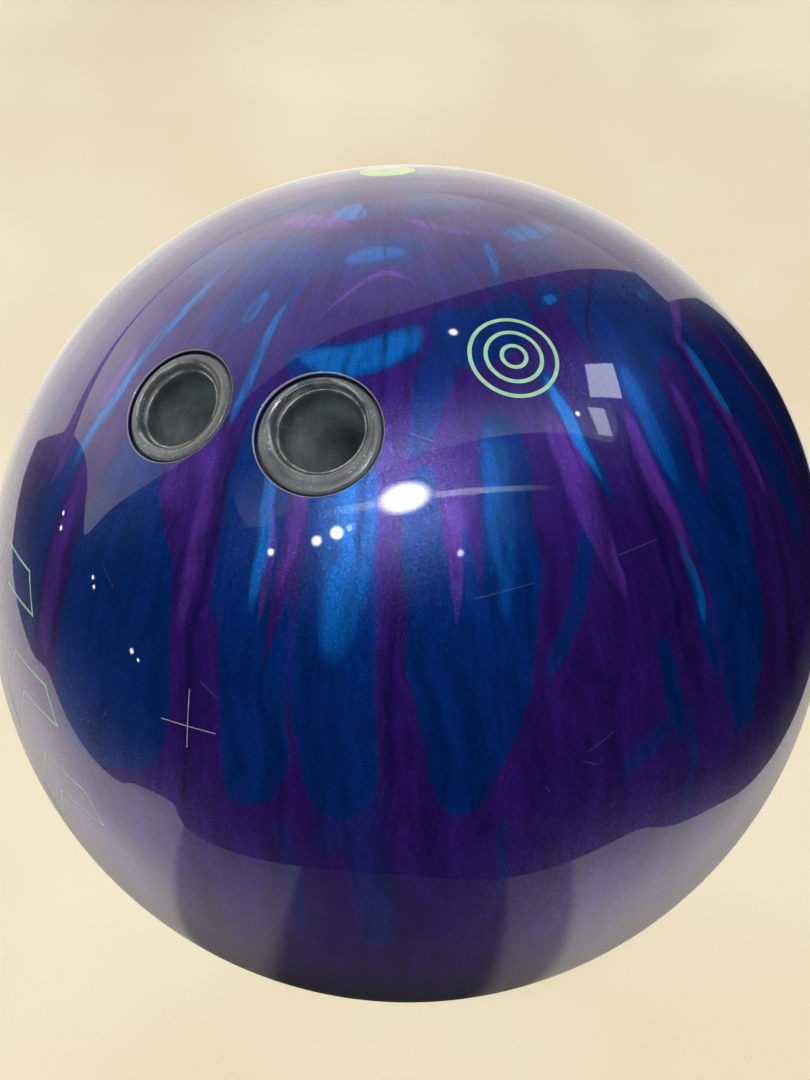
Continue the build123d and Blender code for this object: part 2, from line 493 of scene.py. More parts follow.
B, V, M, F, D = Tone.BLUE, Tone.VIOLET, Tone.PAINTED_MAUVE_FLASH, Tone.FLASH, Tone.DUSK
R = Way.ROUND
STREAKS = (
    # the left flank
    Streak(B, 44, 67, (-62.5, -62, -62), (1.5, 2.0, 1.5), 0.8, 1.2),
    Streak(B, 33, 50, (-62.5, -60, -58), (1.3, 1.2, 0.6), 0.8, 1.0),
    Streak(B, 49, 71.5, (-48.3, -51.5, -49.5), (1.5, 4.8, 3.2)),
    Streak(B, 24, 53, (-43, -45.3, -48), (1.8, 1.3, 1.7)),
    Streak(B, 23.5, 33.5, (-31, -31, -31), (5.5, 6.0, 6.0), 0.8, 2.5),
    Streak(B, 45, 78.6, (-36.5, -33.5, -33.4), (5.0, 7.9, 7.6), 1.0, 0.9),
    Streak(V, 40, 56.5, (-26, -27, -25), (6.0, 5.0, 2.5)),
    Streak(B, 26, 43, (-20.8, -22.4, -24), (1.4, 1.2, 1.0)),
    Streak(D, 42, 80, (-21.6, -22.6, -22.9), (0.3, 0.45, 0.3), 0.5, 0.4),
    Streak(B, 40, 61, (-19.8, -20.3, -20), (1.6, 1.4, 0.7)),
    # the three lobes under the middle finger
    Streak(B, 43, 78.2, (-17, -15.8, -16.2), (2.4, 3.6, 3.4), 1.0, 0.9),
    Streak(B, 54, 69, (-9.6, -11.2, -12.6), (1.6, 1.3, 0.7), 0.8),
    Streak(V, 47, 63.5, (-12.5, -13.4, -14.8), (1.3, 0.9, 0.3)),
    Streak(B, 44, 77.8, (-7.8, -7.4, -7.4), (4.0, 4.3, 3.7), 1.0, 0.9),
    Streak(B, 75, 82, (-4.5, -7, -9), (1.6, 2.5, 1.2), 0.5, 1.5),
    Streak(D, 54, 79, (-1.3, -2, -3.4), (0.3, 0.45, 0.4), 0.55, 0.4),
    Streak(B, 47, 77.8, (2.3, 3.7, 3.9), (2.8, 4.0, 3.0), 1.0, 0.9),
    Streak(B, 42, 75, (12.4, 10.2, 5.8), (2.4, 3.2, 1.6), 1.0, 0.9),
    Streak(V, 43, 57.5, (6.7, 5.3, 4.2), (3.1, 1.5, 0.4)),
    Streak(B, 52, 66, (21.2, 17.5, 13), (1.0, 1.2, 0.8), 0.9),
    # around the top and the locator
    Streak(B, -17, 6, (22.5, 22.3, 22.5), (3.0, 3.5, 3.5), 0.8, 1.5, R),
    Streak(V, -18.5, 4.6, (34.5, 29.3, 29), (1.0, 4.2, 4.0), 1.0, 1.0, R),
    Streak(B, -18, 4.6, (36.3, 35.7, 33.2), (1.4, 2.2, 1.9), 1.0, 0.7, R),
    Streak(V, 23, 35, (4.8, 4.8, 4.8), (0.9, 0.9, 0.9), 0.9, 0.7),
    Streak(B, 5, 25, (33.4, 33.6, 31.6), (2.8, 3.0, 2.2), 1.0, 0.9, R),
    Streak(B, 34.5, 46, (7, 4.4, 1.4), (3.2, 2.4, 1.3), 0.9, 0.9),
    Streak(V, 34, 45, (4.6, 1.2, -1.2), (0.5, 0.6, 0.5), 0.8, 0.6),
    Streak(B, 21.5, 29.5, (25.3, 23.8, 20), (1.5, 2.0, 2.0), 0.8, 1.5),
    Streak(B, 33, 45, (22, 22.6, 24.2), (1.4, 2.0, 1.8), 0.8, 1.5, R),
    Streak(B, 26.5, 34, (32, 31, 30.4), (0.9, 1.3, 1.0), 1.0, 0.7, R),
    Streak(B, 38, 53, (21.2, 22.3, 24.2), (1.1, 1.1, 0.6)),
    Streak(B, 65.5, 76, (26, 26.3, 26.5), (0.7, 1.0, 0.7)),
    Streak(B, 19, 25.5, (77, 75.6, 74), (0.9, 1.2, 0.9), 0.7, 1.0, R),
    Streak(M, -42, -14, (18, 16.8, 17.4), (0.8, 1.5, 1.0), 0.7, 1.0, R),
    Streak(F, -24, -9, (14.6, 14.2, 14.8), (0.8, 1.8, 1.0), 0.8, 1.2, R),
    Streak(M, 6, 24, (16.6, 18.5, 20.5), (0.5, 0.9, 0.6), 0.7, 0.8, R),
    Streak(F, 34, 52, (23.4, 22, 22.6), (0.7, 1.4, 0.8), 0.6, 1.2, R),
    Streak(B, -60, -30, (25, 24, 22), (1.2, 2.0, 1.2), 0.7, 1.5, R),
    Streak(B, 10, 40, (12, 13.5, 16), (1.0, 1.6, 1.0), 0.8, 1.2, R),
    Streak(V, -12, 12, (19, 18.5, 19), (0.8, 1.2, 0.8), 0.8, 1.0, R),
    # the right flank
    Streak(B, 30.5, 61, (37, 35.2, 35.4), (5.0, 5.3, 3.4), 1.0, 1.0, R),
    Streak(B, 36, 79.3, (40, 38.3, 35.3), (9.0, 5.6, 3.0), 1.0, 0.9),
    Streak(V, 29, 38.5, (44, 35.8, 32), (0.8, 0.5, 0.4), 0.8, 0.5),
    Streak(D, 29, 40, (46, 34.6, 31), (0.8, 0.4, 0.4), 0.7, 0.4),
    Streak(V, 41.5, 54.8, (43.5, 41, 37.6), (3.3, 2.4, 0.7)),
    Streak(B, 58, 72.5, (31.3, 31.3, 31.9), (0.7, 0.9, 0.8)),
    Streak(D, 35, 70, (30.8, 28.8, 28.4), (0.4, 0.45, 0.4), 0.6, 0.4),
    Streak(B, 37.5, 68, (54, 53.8, 54.2), (4.0, 3.5, 1.0), 1.0, 1.0),
    Streak(V, 39.5, 45.5, (56.5, 56.5, 56.5), (1.6, 1.6, 1.6), 0.7, 1.2),
    Streak(D, 54, 80, (50, 47.8, 44.5), (0.5, 0.9, 0.5), 0.45, 0.8),
    Streak(B, 37, 61, (65, 65, 65), (2.3, 2.8, 2.3), 1.0, 1.2),
    # faint streaks under the lobes
    Streak(B, 77, 96, (-5, -5, -5), (1.5, 2.2, 1.5), 0.55, 1.5),
    Streak(B, 79, 93, (-13, -12.7, -12.5), (0.7, 0.8, 0.5), 0.5, 0.7),
    Streak(B, 79, 89, (8, 7.5, 7), (0.4, 0.6, 0.4), 0.5, 0.5),
    Streak(B, 73, 88, (28, 27.4, 27), (0.6, 0.7, 0.4), 0.6, 0.6),
    # painted highlights: bright purple and blue streaks where the flakes stand up and catch the lamp
    Streak(M, 37.5, 45.5, (-48.3, -48, -48.3), (0.7, 0.9, 0.7), 0.6, 0.7),
    Streak(M, 47, 56, (-53, -52.3, -54), (2.0, 2.2, 1.0), 0.6, 1.5),
    Streak(M, 54, 71, (-45, -44.5, -44), (1.2, 1.8, 1.2), 0.35, 1.2),
    Streak(M, 42, 62, (-24.5, -24.3, -24.3), (1.0, 1.1, 0.8), 0.6, 0.9),
    Streak(M, 44, 52, (-27, -27.5, -29), (3.0, 3.0, 2.5), 0.45, 2.0),
    Streak(M, 48, 60, (-16.6, -15.3, -15.6), (0.5, 0.5, 0.3), 0.7, 0.4),
    Streak(M, 48, 58, (-12.3, -13.2, -14.2), (1.2, 0.8, 0.3), 0.5, 0.6),
    Streak(M, 50, 60, (5.6, 4.8, 4.4), (1.2, 0.8, 0.3), 0.5, 0.6),
    Streak(M, -13.5, 3.5, (31, 25.9, 27), (0.3, 0.35, 0.3), 0.7, 0.4, R),
    Streak(M, 43, 60, (19.2, 20.3, 22.6), (1.5, 1.3, 0.7), 0.7, 0.9),
    Streak(M, 44, 60, (21.3, 22, 23), (0.3, 0.4, 0.3), 0.7, 0.4),
    Streak(M, 45, 60.5, (30.8, 31, 31.3), (0.9, 1.2, 0.8), 0.8, 0.7),
    Streak(M, 44.5, 53.5, (41.6, 40.4, 38.2), (0.9, 0.9, 0.5), 0.6, 0.7),
    Streak(M, 49, 62, (40.6, 38.2, 36.6), (0.5, 0.7, 0.6), 0.85, 0.5, R),
    Streak(M, 39.5, 60, (50.1, 48.3, 49.3), (0.6, 0.8, 0.7), 0.7, 0.6),
    Streak(M, 40, 62, (61.5, 61.3, 60.6), (0.5, 0.6, 0.5), 0.6, 0.6),
    Streak(F, 26, 51, (-43.2, -45.3, -47.8), (1.2, 0.8, 0.9), 0.8, 0.9),
    Streak(F, 28, 32.5, (-27.7, -27.8, -28.2), (1.4, 1.4, 1.2), 0.7, 1.2),
    Streak(F, 30, 42.5, (-21.6, -22.6, -23.9), (0.8, 0.7, 0.6), 0.85, 0.7),
    Streak(F, 45, 59, (-16.4, -16.3, -16.4), (0.8, 0.8, 0.5), 0.8, 0.7),
    Streak(F, 45, 63, (-6.6, -6.8, -7.4), (3.0, 2.8, 1.5), 0.6, 2.2),
    Streak(F, -15.5, 4, (36, 35.7, 33.4), (0.8, 1.7, 1.4), 0.85, 1.2, R),
    Streak(F, 44, 60, (11.5, 10.5, 9.4), (1.6, 1.6, 0.8), 0.35, 1.4),
    Streak(F, 39.5, 50.5, (21.5, 22, 23.3), (0.7, 0.8, 0.5), 1.0, 0.6),
    Streak(F, 27.8, 31.5, (31.9, 31.8, 31.6), (0.4, 0.5, 0.4), 0.9, 0.6, R),
    Streak(F, 57, 66, (31.2, 31.3, 31.5), (0.5, 0.6, 0.4), 0.9, 0.5),
    Streak(F, 41, 53, (34.2, 33.9, 34.2), (1.4, 1.3, 0.8), 0.45, 1.2),
    Streak(F, 41, 50, (50.7, 49.9, 49.6), (0.8, 0.9, 0.6), 1.0, 0.7),
    Streak(F, 50, 54, (34, 34, 34), (0.6, 0.8, 0.6), 0.4, 0.8, R),
    Streak(F, -12, 3, (23.4, 22.6, 22.6), (0.8, 1.0, 0.8), 0.5, 1.2, R),
    Streak(F, 34, 44, (22, 22.4, 23.6), (0.7, 1.0, 0.7), 0.6, 1.0, R),
    Streak(F, 23, 27.5, (25.2, 24.4, 22.5), (0.8, 1.0, 0.8), 0.6, 1.0),
)


@dataclass(frozen=True)
class Scratch:
    """A fine scratch in the gloss: its middle, length and heading, in degrees."""

    azimuth: float
    polar: float
    length: float
    heading: float
    width: float = 0.09

    def mask(self, shader: Shader, azimuth: Value, polar: Value, squeeze: float) -> Value:
        """Where the scratch is.

        Args:
            shader: The material.
            azimuth: Azimuth, in degrees.
            polar: Polar angle, in degrees.
            squeeze: Degrees of arc to a degree of azimuth at the scratch.

        Returns:
            1 on the scratch, 0 away from it.
        """
        turn = math.radians(self.heading)
        right = (azimuth - self.azimuth) * squeeze
        down = polar - self.polar
        along = right * math.cos(turn) + down * math.sin(turn)
        across = right * -math.sin(turn) + down * math.cos(turn)
        inside = abs(along).step(self.length / 2, self.length / 2 - 0.5)
        return abs(across).step(self.width, self.width * 0.3) * inside


SCRATCHES = (
    Scratch(17.5, 73.4, 3.6, -24),
    Scratch(16.2, 75.2, 2.0, 30),
    Scratch(11.8, 76.8, 1.2, 60),
    Scratch(46.8, 72.5, 1.6, 50),
    Scratch(42.5, 75.2, 1.0, 40),
    Scratch(-33.2, 73.0, 1.2, -60, 0.14),
    Scratch(-35.0, 59.5, 3.0, 40),
    Scratch(-20.5, 67.0, 2.6, 35),
    Scratch(2.5, 43.8, 3.0, 25),
    Scratch(25.5, 57.0, 5.0, -3),
    Scratch(9.5, 58.0, 6.0, -6, 0.06),
)


@dataclass(frozen=True)
class PearlCover:
    """Polished pearl resin: metal-flake pigments poured in streaks, under a clear gloss; bright flashes and
    sparkle of the flakes are painted into its colour, and so is shade towards the bottom.
    """

    violet: Colour = (0.040, 0.012, 0.215)
    blue: Colour = (0.0, 0.034, 0.262)
    mauve_flash_and_blush: Colour = (0.15, 0.042, 0.46)
    painted_flash: Colour = (0.0, 0.19, 0.72)
    dusk: Colour = (0.004, 0.009, 0.11)
    scratch: Colour = (0.42, 0.42, 0.55)
    dust: Colour = (0.42, 0.40, 0.30)
    flake_size: float = 0.18 * MM
    flake_tilt: float = 0.19
    metal: float = 0.72
    painted_lower_shade: float = 0.42
    haze_colour: Colour = (0.80, 0.90, 1.0)
    haze: float = 0.03

    def dress(self) -> bpy.types.Material:
        """Makes the cover's material.

        Returns:
            The material.
        """
        shader = Shader("pearl_cover")
        place = shader.position()
        out = place.unit()
        height = out.dot(LAYOUT.pin)
        polar = shader.math("ARCCOSINE", height) * math.degrees(1)
        azimuth = shader.math("ARCTAN2", out.dot(LAYOUT.right), out.dot(LAYOUT.front)) * math.degrees(1)
        wander = Direction(shader, shader.noise(out, 5.0, 2.0, 0.5).outputs["Color"]) - MIDDLE_GREY
        spoke = (out - shader.scaled_axis(LAYOUT.pin, height)).unit()
        strand = spoke + shader.scaled_axis(LAYOUT.pin, polar * 0.0022) + wander.scaled(0.09)
        threads = shader.noise_value(strand, 24.0, 2.0, 0.55)
        hairs = shader.noise_value(strand, 90.0, 2.0, 0.6)
        colour = self._pigment(shader, out, strand, threads, wander, azimuth, polar)
        cells = {"Vector": place, "Scale": 1 / self.flake_size}
        flake_cells = shader.node("ShaderNodeTexVoronoi", {"feature": "F1"}, cells)
        flakes = Direction(shader, flake_cells.outputs["Color"])
        # painted sparkle: about one flake cell in sixteen is painted up to twice as bright, as a glint
        spark = flakes.dot(X_AXIS)
        light = threads.step(0.3, 0.7, 0.82, 1.24) * hairs.step(0.3, 0.7, 0.88, 1.12)
        light = light * (spark.step(0.0, 1.0, 0.9, 1.06) + spark.step(0.94, 1.0, 0.0, 0.9))
        # painted shade: the colour darkens towards the bottom of the ball, to 0.42 of itself below about its
        # middle
        light = light * out.dot(Z_AXIS).step(-0.1, 0.52, self.painted_lower_shade, 1.0)
        marks = self._scratches(shader, azimuth, polar)
        colour = shader.mix(marks * 0.16, shader.brighten(colour, light), self.scratch)
        depth = LAYOUT.radius - place.length()
        scribed = depth.step(0.02 * MM, 0.05 * MM) * depth.step(0.5 * MM, 0.3 * MM)
        colour = shader.mix(scribed * 0.6, colour, self.dust)
        lean = (flakes - MIDDLE_GREY).scaled(self.flake_tilt)
        normal = Direction(shader, shader.node("ShaderNodeNewGeometry").outputs["Normal"]) + lean
        coarse = shader.noise_value(out.scaled(3.0) + strand, 90.0, 2.0, 0.7)
        swirls = shader.noise_value(out, 240.0, 3.0, 0.8) + coarse
        return shader.finish(
            {
                "Base Color": colour,
                "Metallic": scribed.step(0.0, 1.0, self.metal, 0.0),
                "Roughness": hairs.step(0.2, 0.8, 0.32, 0.40),
                "Specular IOR Level": 0.1,
                "Normal": normal.unit(),
                "Coat Weight": 1.0 - marks * 0.4,
                "Coat Roughness": 0.025,
                "Coat IOR": 1.5,
            },
            self._haze_film(shader, swirls),
            swirls.step(0.75, 1.25, self.haze * 0.2, self.haze * 1.8),
        )

    def _pigment(
        self,
        shader: Shader,
        out: Direction,
        strand: Direction,
        threads: Value,
        wander: Direction,
        azimuth: Value,
        polar: Value,
    ) -> bpy.types.NodeSocket:
        """The poured pigments, with the painted flashes of the flakes, one over another.

        Args:
            shader: The material.
            out: Direction from the ball's centre.
            strand: Place for noise drawn out down the ball.
            threads: Fine noise drawn out down the ball.
            wander: How far the streaks stray.
            azimuth: Azimuth, in degrees.
            polar: Polar angle, in degrees.

        Returns:
            The colour's socket.
        """
        stray_azimuth = azimuth + wander.dot(X_AXIS * 3.0)
        stray_polar = polar + wander.dot(Y_AXIS * 3.5)
        masks = {tone: self._tone_mask(shader, tone, stray_azimuth, stray_polar) for tone in Tone}
        wild = self._wild_streaks(shader, strand, out, azimuth, stray_polar)
        side = abs(azimuth).step(66.0, 74.0)
        # painted highlights: bright blue flashes scattered over the streaks on the sides
        glow = wild * shader.noise_value(strand, 11.0, 1.0, 0.5).step(0.54, 0.68) * side * 0.7
        blush = (1.0 - wild) * threads.step(0.44, 0.32) * side * 0.6
        grain = threads.step(0.2, 0.55)
        colour = shader.mix(masks[Tone.BLUE].max(wild), self.violet, self.blue)
        colour = shader.mix(masks[Tone.VIOLET], colour, self.violet)
        # painted highlights: purple and blue flashes where the flakes catch the lamp; the purple also as a
        # random blush on the sides
        colour = shader.mix((masks[Tone.PAINTED_MAUVE_FLASH] * grain).max(blush), colour, self.mauve_flash_and_blush)
        colour = shader.mix((masks[Tone.FLASH] * grain).max(glow), colour, self.painted_flash)
        return shader.mix(masks[Tone.DUSK], colour, self.dusk)

    def _haze_film(self, shader: Shader, swirls: Value) -> bpy.types.Node:
        """The thin bright haze of fine polishing marks.

        Args:
            shader: The material.
            swirls: The marks, as a height field.

        Returns:
            The film's shader node.
        """
        inputs = {
            "Base Color": self.haze_colour,
            "Metallic": 1.0,
            "Roughness": 0.15,
            "Normal": shader.bump(swirls, 0.05 * MM, 1.0),
        }
        return shader.node("ShaderNodeBsdfPrincipled", {}, inputs)

    def _tone_mask(self, shader: Shader, tone: Tone, azimuth: Value, polar: Value) -> Value:
        """The streaks of one pigment, or of one kind of painted flashes, together.

        Args:
            shader: The material.
            tone: The pigment, or the painted flashes.
            azimuth: Azimuth, in degrees.
            polar: Polar angle, in degrees.

        Returns:
            Their strength, 0 to 1.
        """
        masks = [streak.mask(shader, azimuth, polar) for streak in STREAKS if streak.tone is tone]
        joined = masks[0]
        for mask in masks[1:]:
            joined = joined.max(mask)
        return joined

    def _wild_streaks(
        self,
        shader: Shader,
        strand: Direction,
        out: Direction,
        azimuth: Value,
        polar: Value,
    ) -> Value:
        """Blue streaks on the parts of the cover that the listed ones leave free.

        Args:
            shader: The material.
            strand: Place for noise drawn out down the ball.
            out: Direction from the ball's centre.
            azimuth: Azimuth, in degrees.
            polar: Polar angle, in degrees.

        Returns:
            Their strength, 0 to 1.
        """
        broad = shader.noise_value(strand, 3.2, 2.0, 0.5).step(0.47, 0.52)
        fine = shader.noise_value(strand, 10.0, 1.0, 0.5).step(0.58, 0.62)
        swirl = shader.noise_value(out, 6.0, 2.0, 0.6).step(0.47, 0.55)
        side = abs(azimuth).step(66.0, 73.0)
        reach = polar + shader.noise_value(strand, 4.0) * 70.0
        body = broad.max(fine) * side * reach.step(122.0, 117.0) * polar.step(15.0, 24.0)
        return body.max(swirl * polar.step(31.0, 23.0))

    def _scratches(self, shader: Shader, azimuth: Value, polar: Value) -> Value:
        """All the scratches together.

        Args:
            shader: The material.
            azimuth: Azimuth, in degrees.
            polar: Polar angle, in degrees.

        Returns:
            1 on a scratch, 0 away from them.
        """
        joined = None
        for scratch in SCRATCHES:
            squeeze = math.sin(math.radians(scratch.polar))
            mask = scratch.mask(shader, azimuth, polar, squeeze)
            joined = mask if joined is None else joined.max(mask)
        return joined


# ------------------------------------------------------------------ the other finishes
@dataclass(frozen=True)
class SmokeVinyl:
    """Smoke grey vinyl, turned smooth: its bore is painted paler far down, for light that seeps in, and its
    funnel shows fine steps.

    Attributes:
        bore: Middle of the bore's mouth.
        axis: Outward direction of the bore.
    """

    bore: Vector
    axis: Vector
    painted_bore_light: Colour = (0.27, 0.32, 0.345)
    smoke: Colour = (0.055, 0.066, 0.073)
    pale: Colour = (0.100, 0.112, 0.118)
    dust: Colour = (0.55, 0.55, 0.52)

    def dress(self) -> bpy.types.Material:
        """Makes an insert's material.

        Returns:
            The material.
        """
        shader = Shader("smoke_vinyl")
        place = shader.position()
        from_bore = place - self.bore
        lift = from_bore.dot(self.axis)
        off = (from_bore - shader.scaled_axis(self.axis, lift)).length()
        far = place.length()
        cloud = shader.noise_value(place, 170.0, 3.0, 0.65)
        sanded = shader.noise_value(place, 1500.0, 2.0, 0.7)
        worn = off + (cloud - 0.5) * 0.6 * MM
        lip = worn.step(8.3 * MM, 9.0 * MM)
        steps = shader.math("SINE", worn * (2 * math.pi / (0.62 * MM)), 0.0) * worn.step(9.3 * MM, 8.4 * MM)
        inner_edge = abs(worn - 7.75 * MM).step(0.22 * MM, 0.04 * MM)
        edge = abs(worn - 8.6 * MM).step(0.28 * MM, 0.05 * MM).max(inner_edge)
        specks = shader.noise_value(place, 2600.0, 0.0, 0.5).step(0.70, 0.76) * cloud.step(0.42, 0.62)
        colour = shader.mix(lip * 0.55 + cloud * 0.3, self.smoke, self.pale)
        # painted light: the colour turns pale grey far down the bore, for light that seeps through the vinyl
        colour = shader.mix(far.step(LAYOUT.radius - 3.0 * MM, LAYOUT.radius - 11.0 * MM), colour, self.painted_bore_light)
        light = sanded.step(0.2, 0.8, 0.84, 1.18) * cloud.step(0.3, 0.7, 0.8, 1.25)
        colour = shader.brighten(colour, light)
        colour = shader.mix(edge * cloud.step(0.35, 0.6) * 0.5, colour, self.dust)
        colour = shader.mix(specks * 0.6, colour, self.dust)
        return shader.finish(
            {
                "Base Color": colour,
                "Roughness": (lip * cloud).step(0.0, 0.7, 0.22, 0.40),
                "Normal": shader.bump(steps * 0.5 + sanded * 0.3, 0.05 * MM, 0.7),
                "Specular IOR Level": 0.8,
                "Coat Weight": 0.6,
                "Coat Roughness": 0.09,
                "Subsurface Weight": 0.2,
                "Subsurface Radius": (0.9, 1.0, 1.0),
                "Subsurface Scale": 1.5 * MM,
            }
        )


@dataclass(frozen=True)
class CastResin:
    """Plain cast resin, filled or clear, with a mottled colour."""

    name: str
    low: Colour
    high: Colour
    mottle_scale: float
    roughness: tuple[float, float]
    gloss: float = 0.0
    bump_height: float = 0.02 * MM

    def dress(self) -> bpy.types.Material:
        """Makes the material.

        Returns:
            The material.
        """
        shader = Shader(self.name)
        place = shader.position()
        mottle = shader.noise_value(place, self.mottle_scale, 4.0, 0.6)
        speck = shader.noise_value(place, self.mottle_scale * 8, 2.0, 0.6)
        colour = shader.mix(mottle.step(0.3, 0.7) * 0.7 + speck * 0.3, self.low, self.high)
        return shader.finish(
            {
                "Base Color": colour,
                "Roughness": mottle.step(0.3, 0.7, *self.roughness),
                "Normal": shader.bump(speck, self.bump_height, 0.4),
                "Coat Weight": self.gloss,
                "Coat Roughness": 0.04,
            }
        )


FILLER = CastResin("filler_resin", (0.20, 0.19, 0.18), (0.36, 0.34, 0.32), 120.0, (0.55, 0.75))
BLOCK_RESIN = CastResin("weight_block_resin", (0.55, 0.52, 0.46), (0.74, 0.72, 0.66), 150.0, (0.5, 0.7))
PIN_RESIN = CastResin("green_pin_resin", (0.30, 0.56, 0.17), (0.42, 0.70, 0.26), 260.0, (0.3, 0.4), gloss=1.0)
GREEN_PAINT = CastResin(
    "green_mark_paint", (0.23, 0.46, 0.27), (0.34, 0.60, 0.37), 700.0, (0.35, 0.5), gloss=0.4
)
# the real glue round the inserts, painted near black so that it also stands for the shade in the gap round
# each insert
GLUE_AND_GAP_SHADE = CastResin("adhesive_and_gap_shade", (0.012, 0.012, 0.014), (0.035, 0.033, 0.036), 400.0, (0.3, 0.5))


@dataclass(frozen=True)
class CreamCloth:
    """Cream cotton sheet: a fine plain weave with a soft, uneven colour."""

    low: Colour = (0.80, 0.70, 0.50)
    high: Colour = (0.88, 0.80, 0.61)
    thread: float = 0.55 * MM

    def dress(self) -> bpy.types.Material:
        """Makes the floor's material.

        Returns:
            The material.
        """
        shader = Shader("cream_cloth")
        place = shader.position()
        cloud = shader.noise_value(place, 5.0, 3.0, 0.5)
        slub = shader.noise_value(place, 900.0, 2.0, 0.7)
        pitch = 2 * math.pi / self.thread
        warp = shader.math("SINE", place.dot(Vector((pitch, 0.0, 0.0))))
        weft = shader.math("SINE", place.dot(Vector((0.0, pitch, 0.0))))
        weave = warp * weft * 0.5 + 0.5
        colour = shader.mix(cloud.step(0.35, 0.65), self.low, self.high)
        colour = shader.brighten(colour, slub.step(0.2, 0.8, 0.985, 1.01))
        return shader.finish(
            {
                "Base Color": colour,
                "Roughness": slub.step(0.2, 0.8, 0.9, 1.0),
                "Normal": shader.bump(weave, 0.05 * MM, 0.25),
                "Specular IOR Level": 0.1,
            }
        )


# ------------------------------------------------------------------ mesh helpers
def add_object(
    name: str,
    mesh: bpy.types.Mesh,
    material: bpy.types.Material | None = None,
) -> bpy.types.Object:
    """Puts a mesh in the scene.

    Args:
        name: The object's name.
        mesh: Its mesh.
        material: Its material, if it has one.

    Returns:
        The object.
    """
    made = bpy.data.objects.new(name, mesh)
    bpy.context.scene.collection.objects.link(made)
    if material:
        mesh.materials.clear()
        mesh.materials.append(material)
    return made


def ring_mesh(name: str, rings: Sequence[np.ndarray], closed: bool = False) -> bpy.types.Mesh:
    """Joins rings of points into a skin.

    Args:
        name: The mesh's name.
        rings: Rings of the same number of points.
        closed: Whether the last ring joins the first; otherwise each end ring is capped.

    Returns:
        The mesh.
    """
    count = len(rings[0])
    faces = []
    for ring in range(len(rings) if closed else len(rings) - 1):
        low, high = ring * count, (ring + 1) % len(rings) * count
        for i in range(count):
            j = (i + 1) % count
            faces.append((low + i, low + j, high + j, high + i))
    if not closed:
        last = (len(rings) - 1) * count
        faces.append(tuple(reversed(range(count))))
        faces.append(tuple(last + i for i in range(count)))
    mesh = bpy.data.meshes.new(name)
    mesh.from_pydata([tuple(p) for ring in rings for p in ring], [], faces)
    mesh.validate()
    mesh.update()
    return mesh


def shade_smooth(mesh: bpy.types.Mesh, sharp_degrees: float = 35.0) -> None:
    """Shades a mesh smooth, with edges over an angle kept sharp."""
    mesh.shade_smooth()
    mesh.set_sharp_from_angle(angle=math.radians(sharp_degrees))


def remove(helper: bpy.types.Object) -> None:
    """Deletes a helper object with its mesh.

    Args:
        helper: The object.
    """
    mesh = helper.data
    bpy.data.objects.remove(helper)
    bpy.data.meshes.remove(mesh)


def shown_as(node: str, material: bpy.types.Material) -> bpy.types.Object:
    """Dresses a CAD node that stays as it is.

    Args:
        node: The node's name.
        material: Its finish.

    Returns:
        The node's object.
    """
    made = frame["nodes"][node]
    made.data.materials.clear()
    made.data.materials.append(material)
    LOG.info("dressed %s in %s", node, material.name)
    return made


def stands_for(made: bpy.types.Object, node: str) -> bpy.types.Object:
    """Puts a finished piece in place of its CAD node.

    Args:
        made: The piece.
        node: The CAD node it stands for.

    Returns:
        The piece.
    """
    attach(made, BODY)
    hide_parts(node)
    LOG.info("built %s in place of %s: %d faces", made.name, node, len(made.data.polygons))
    return made


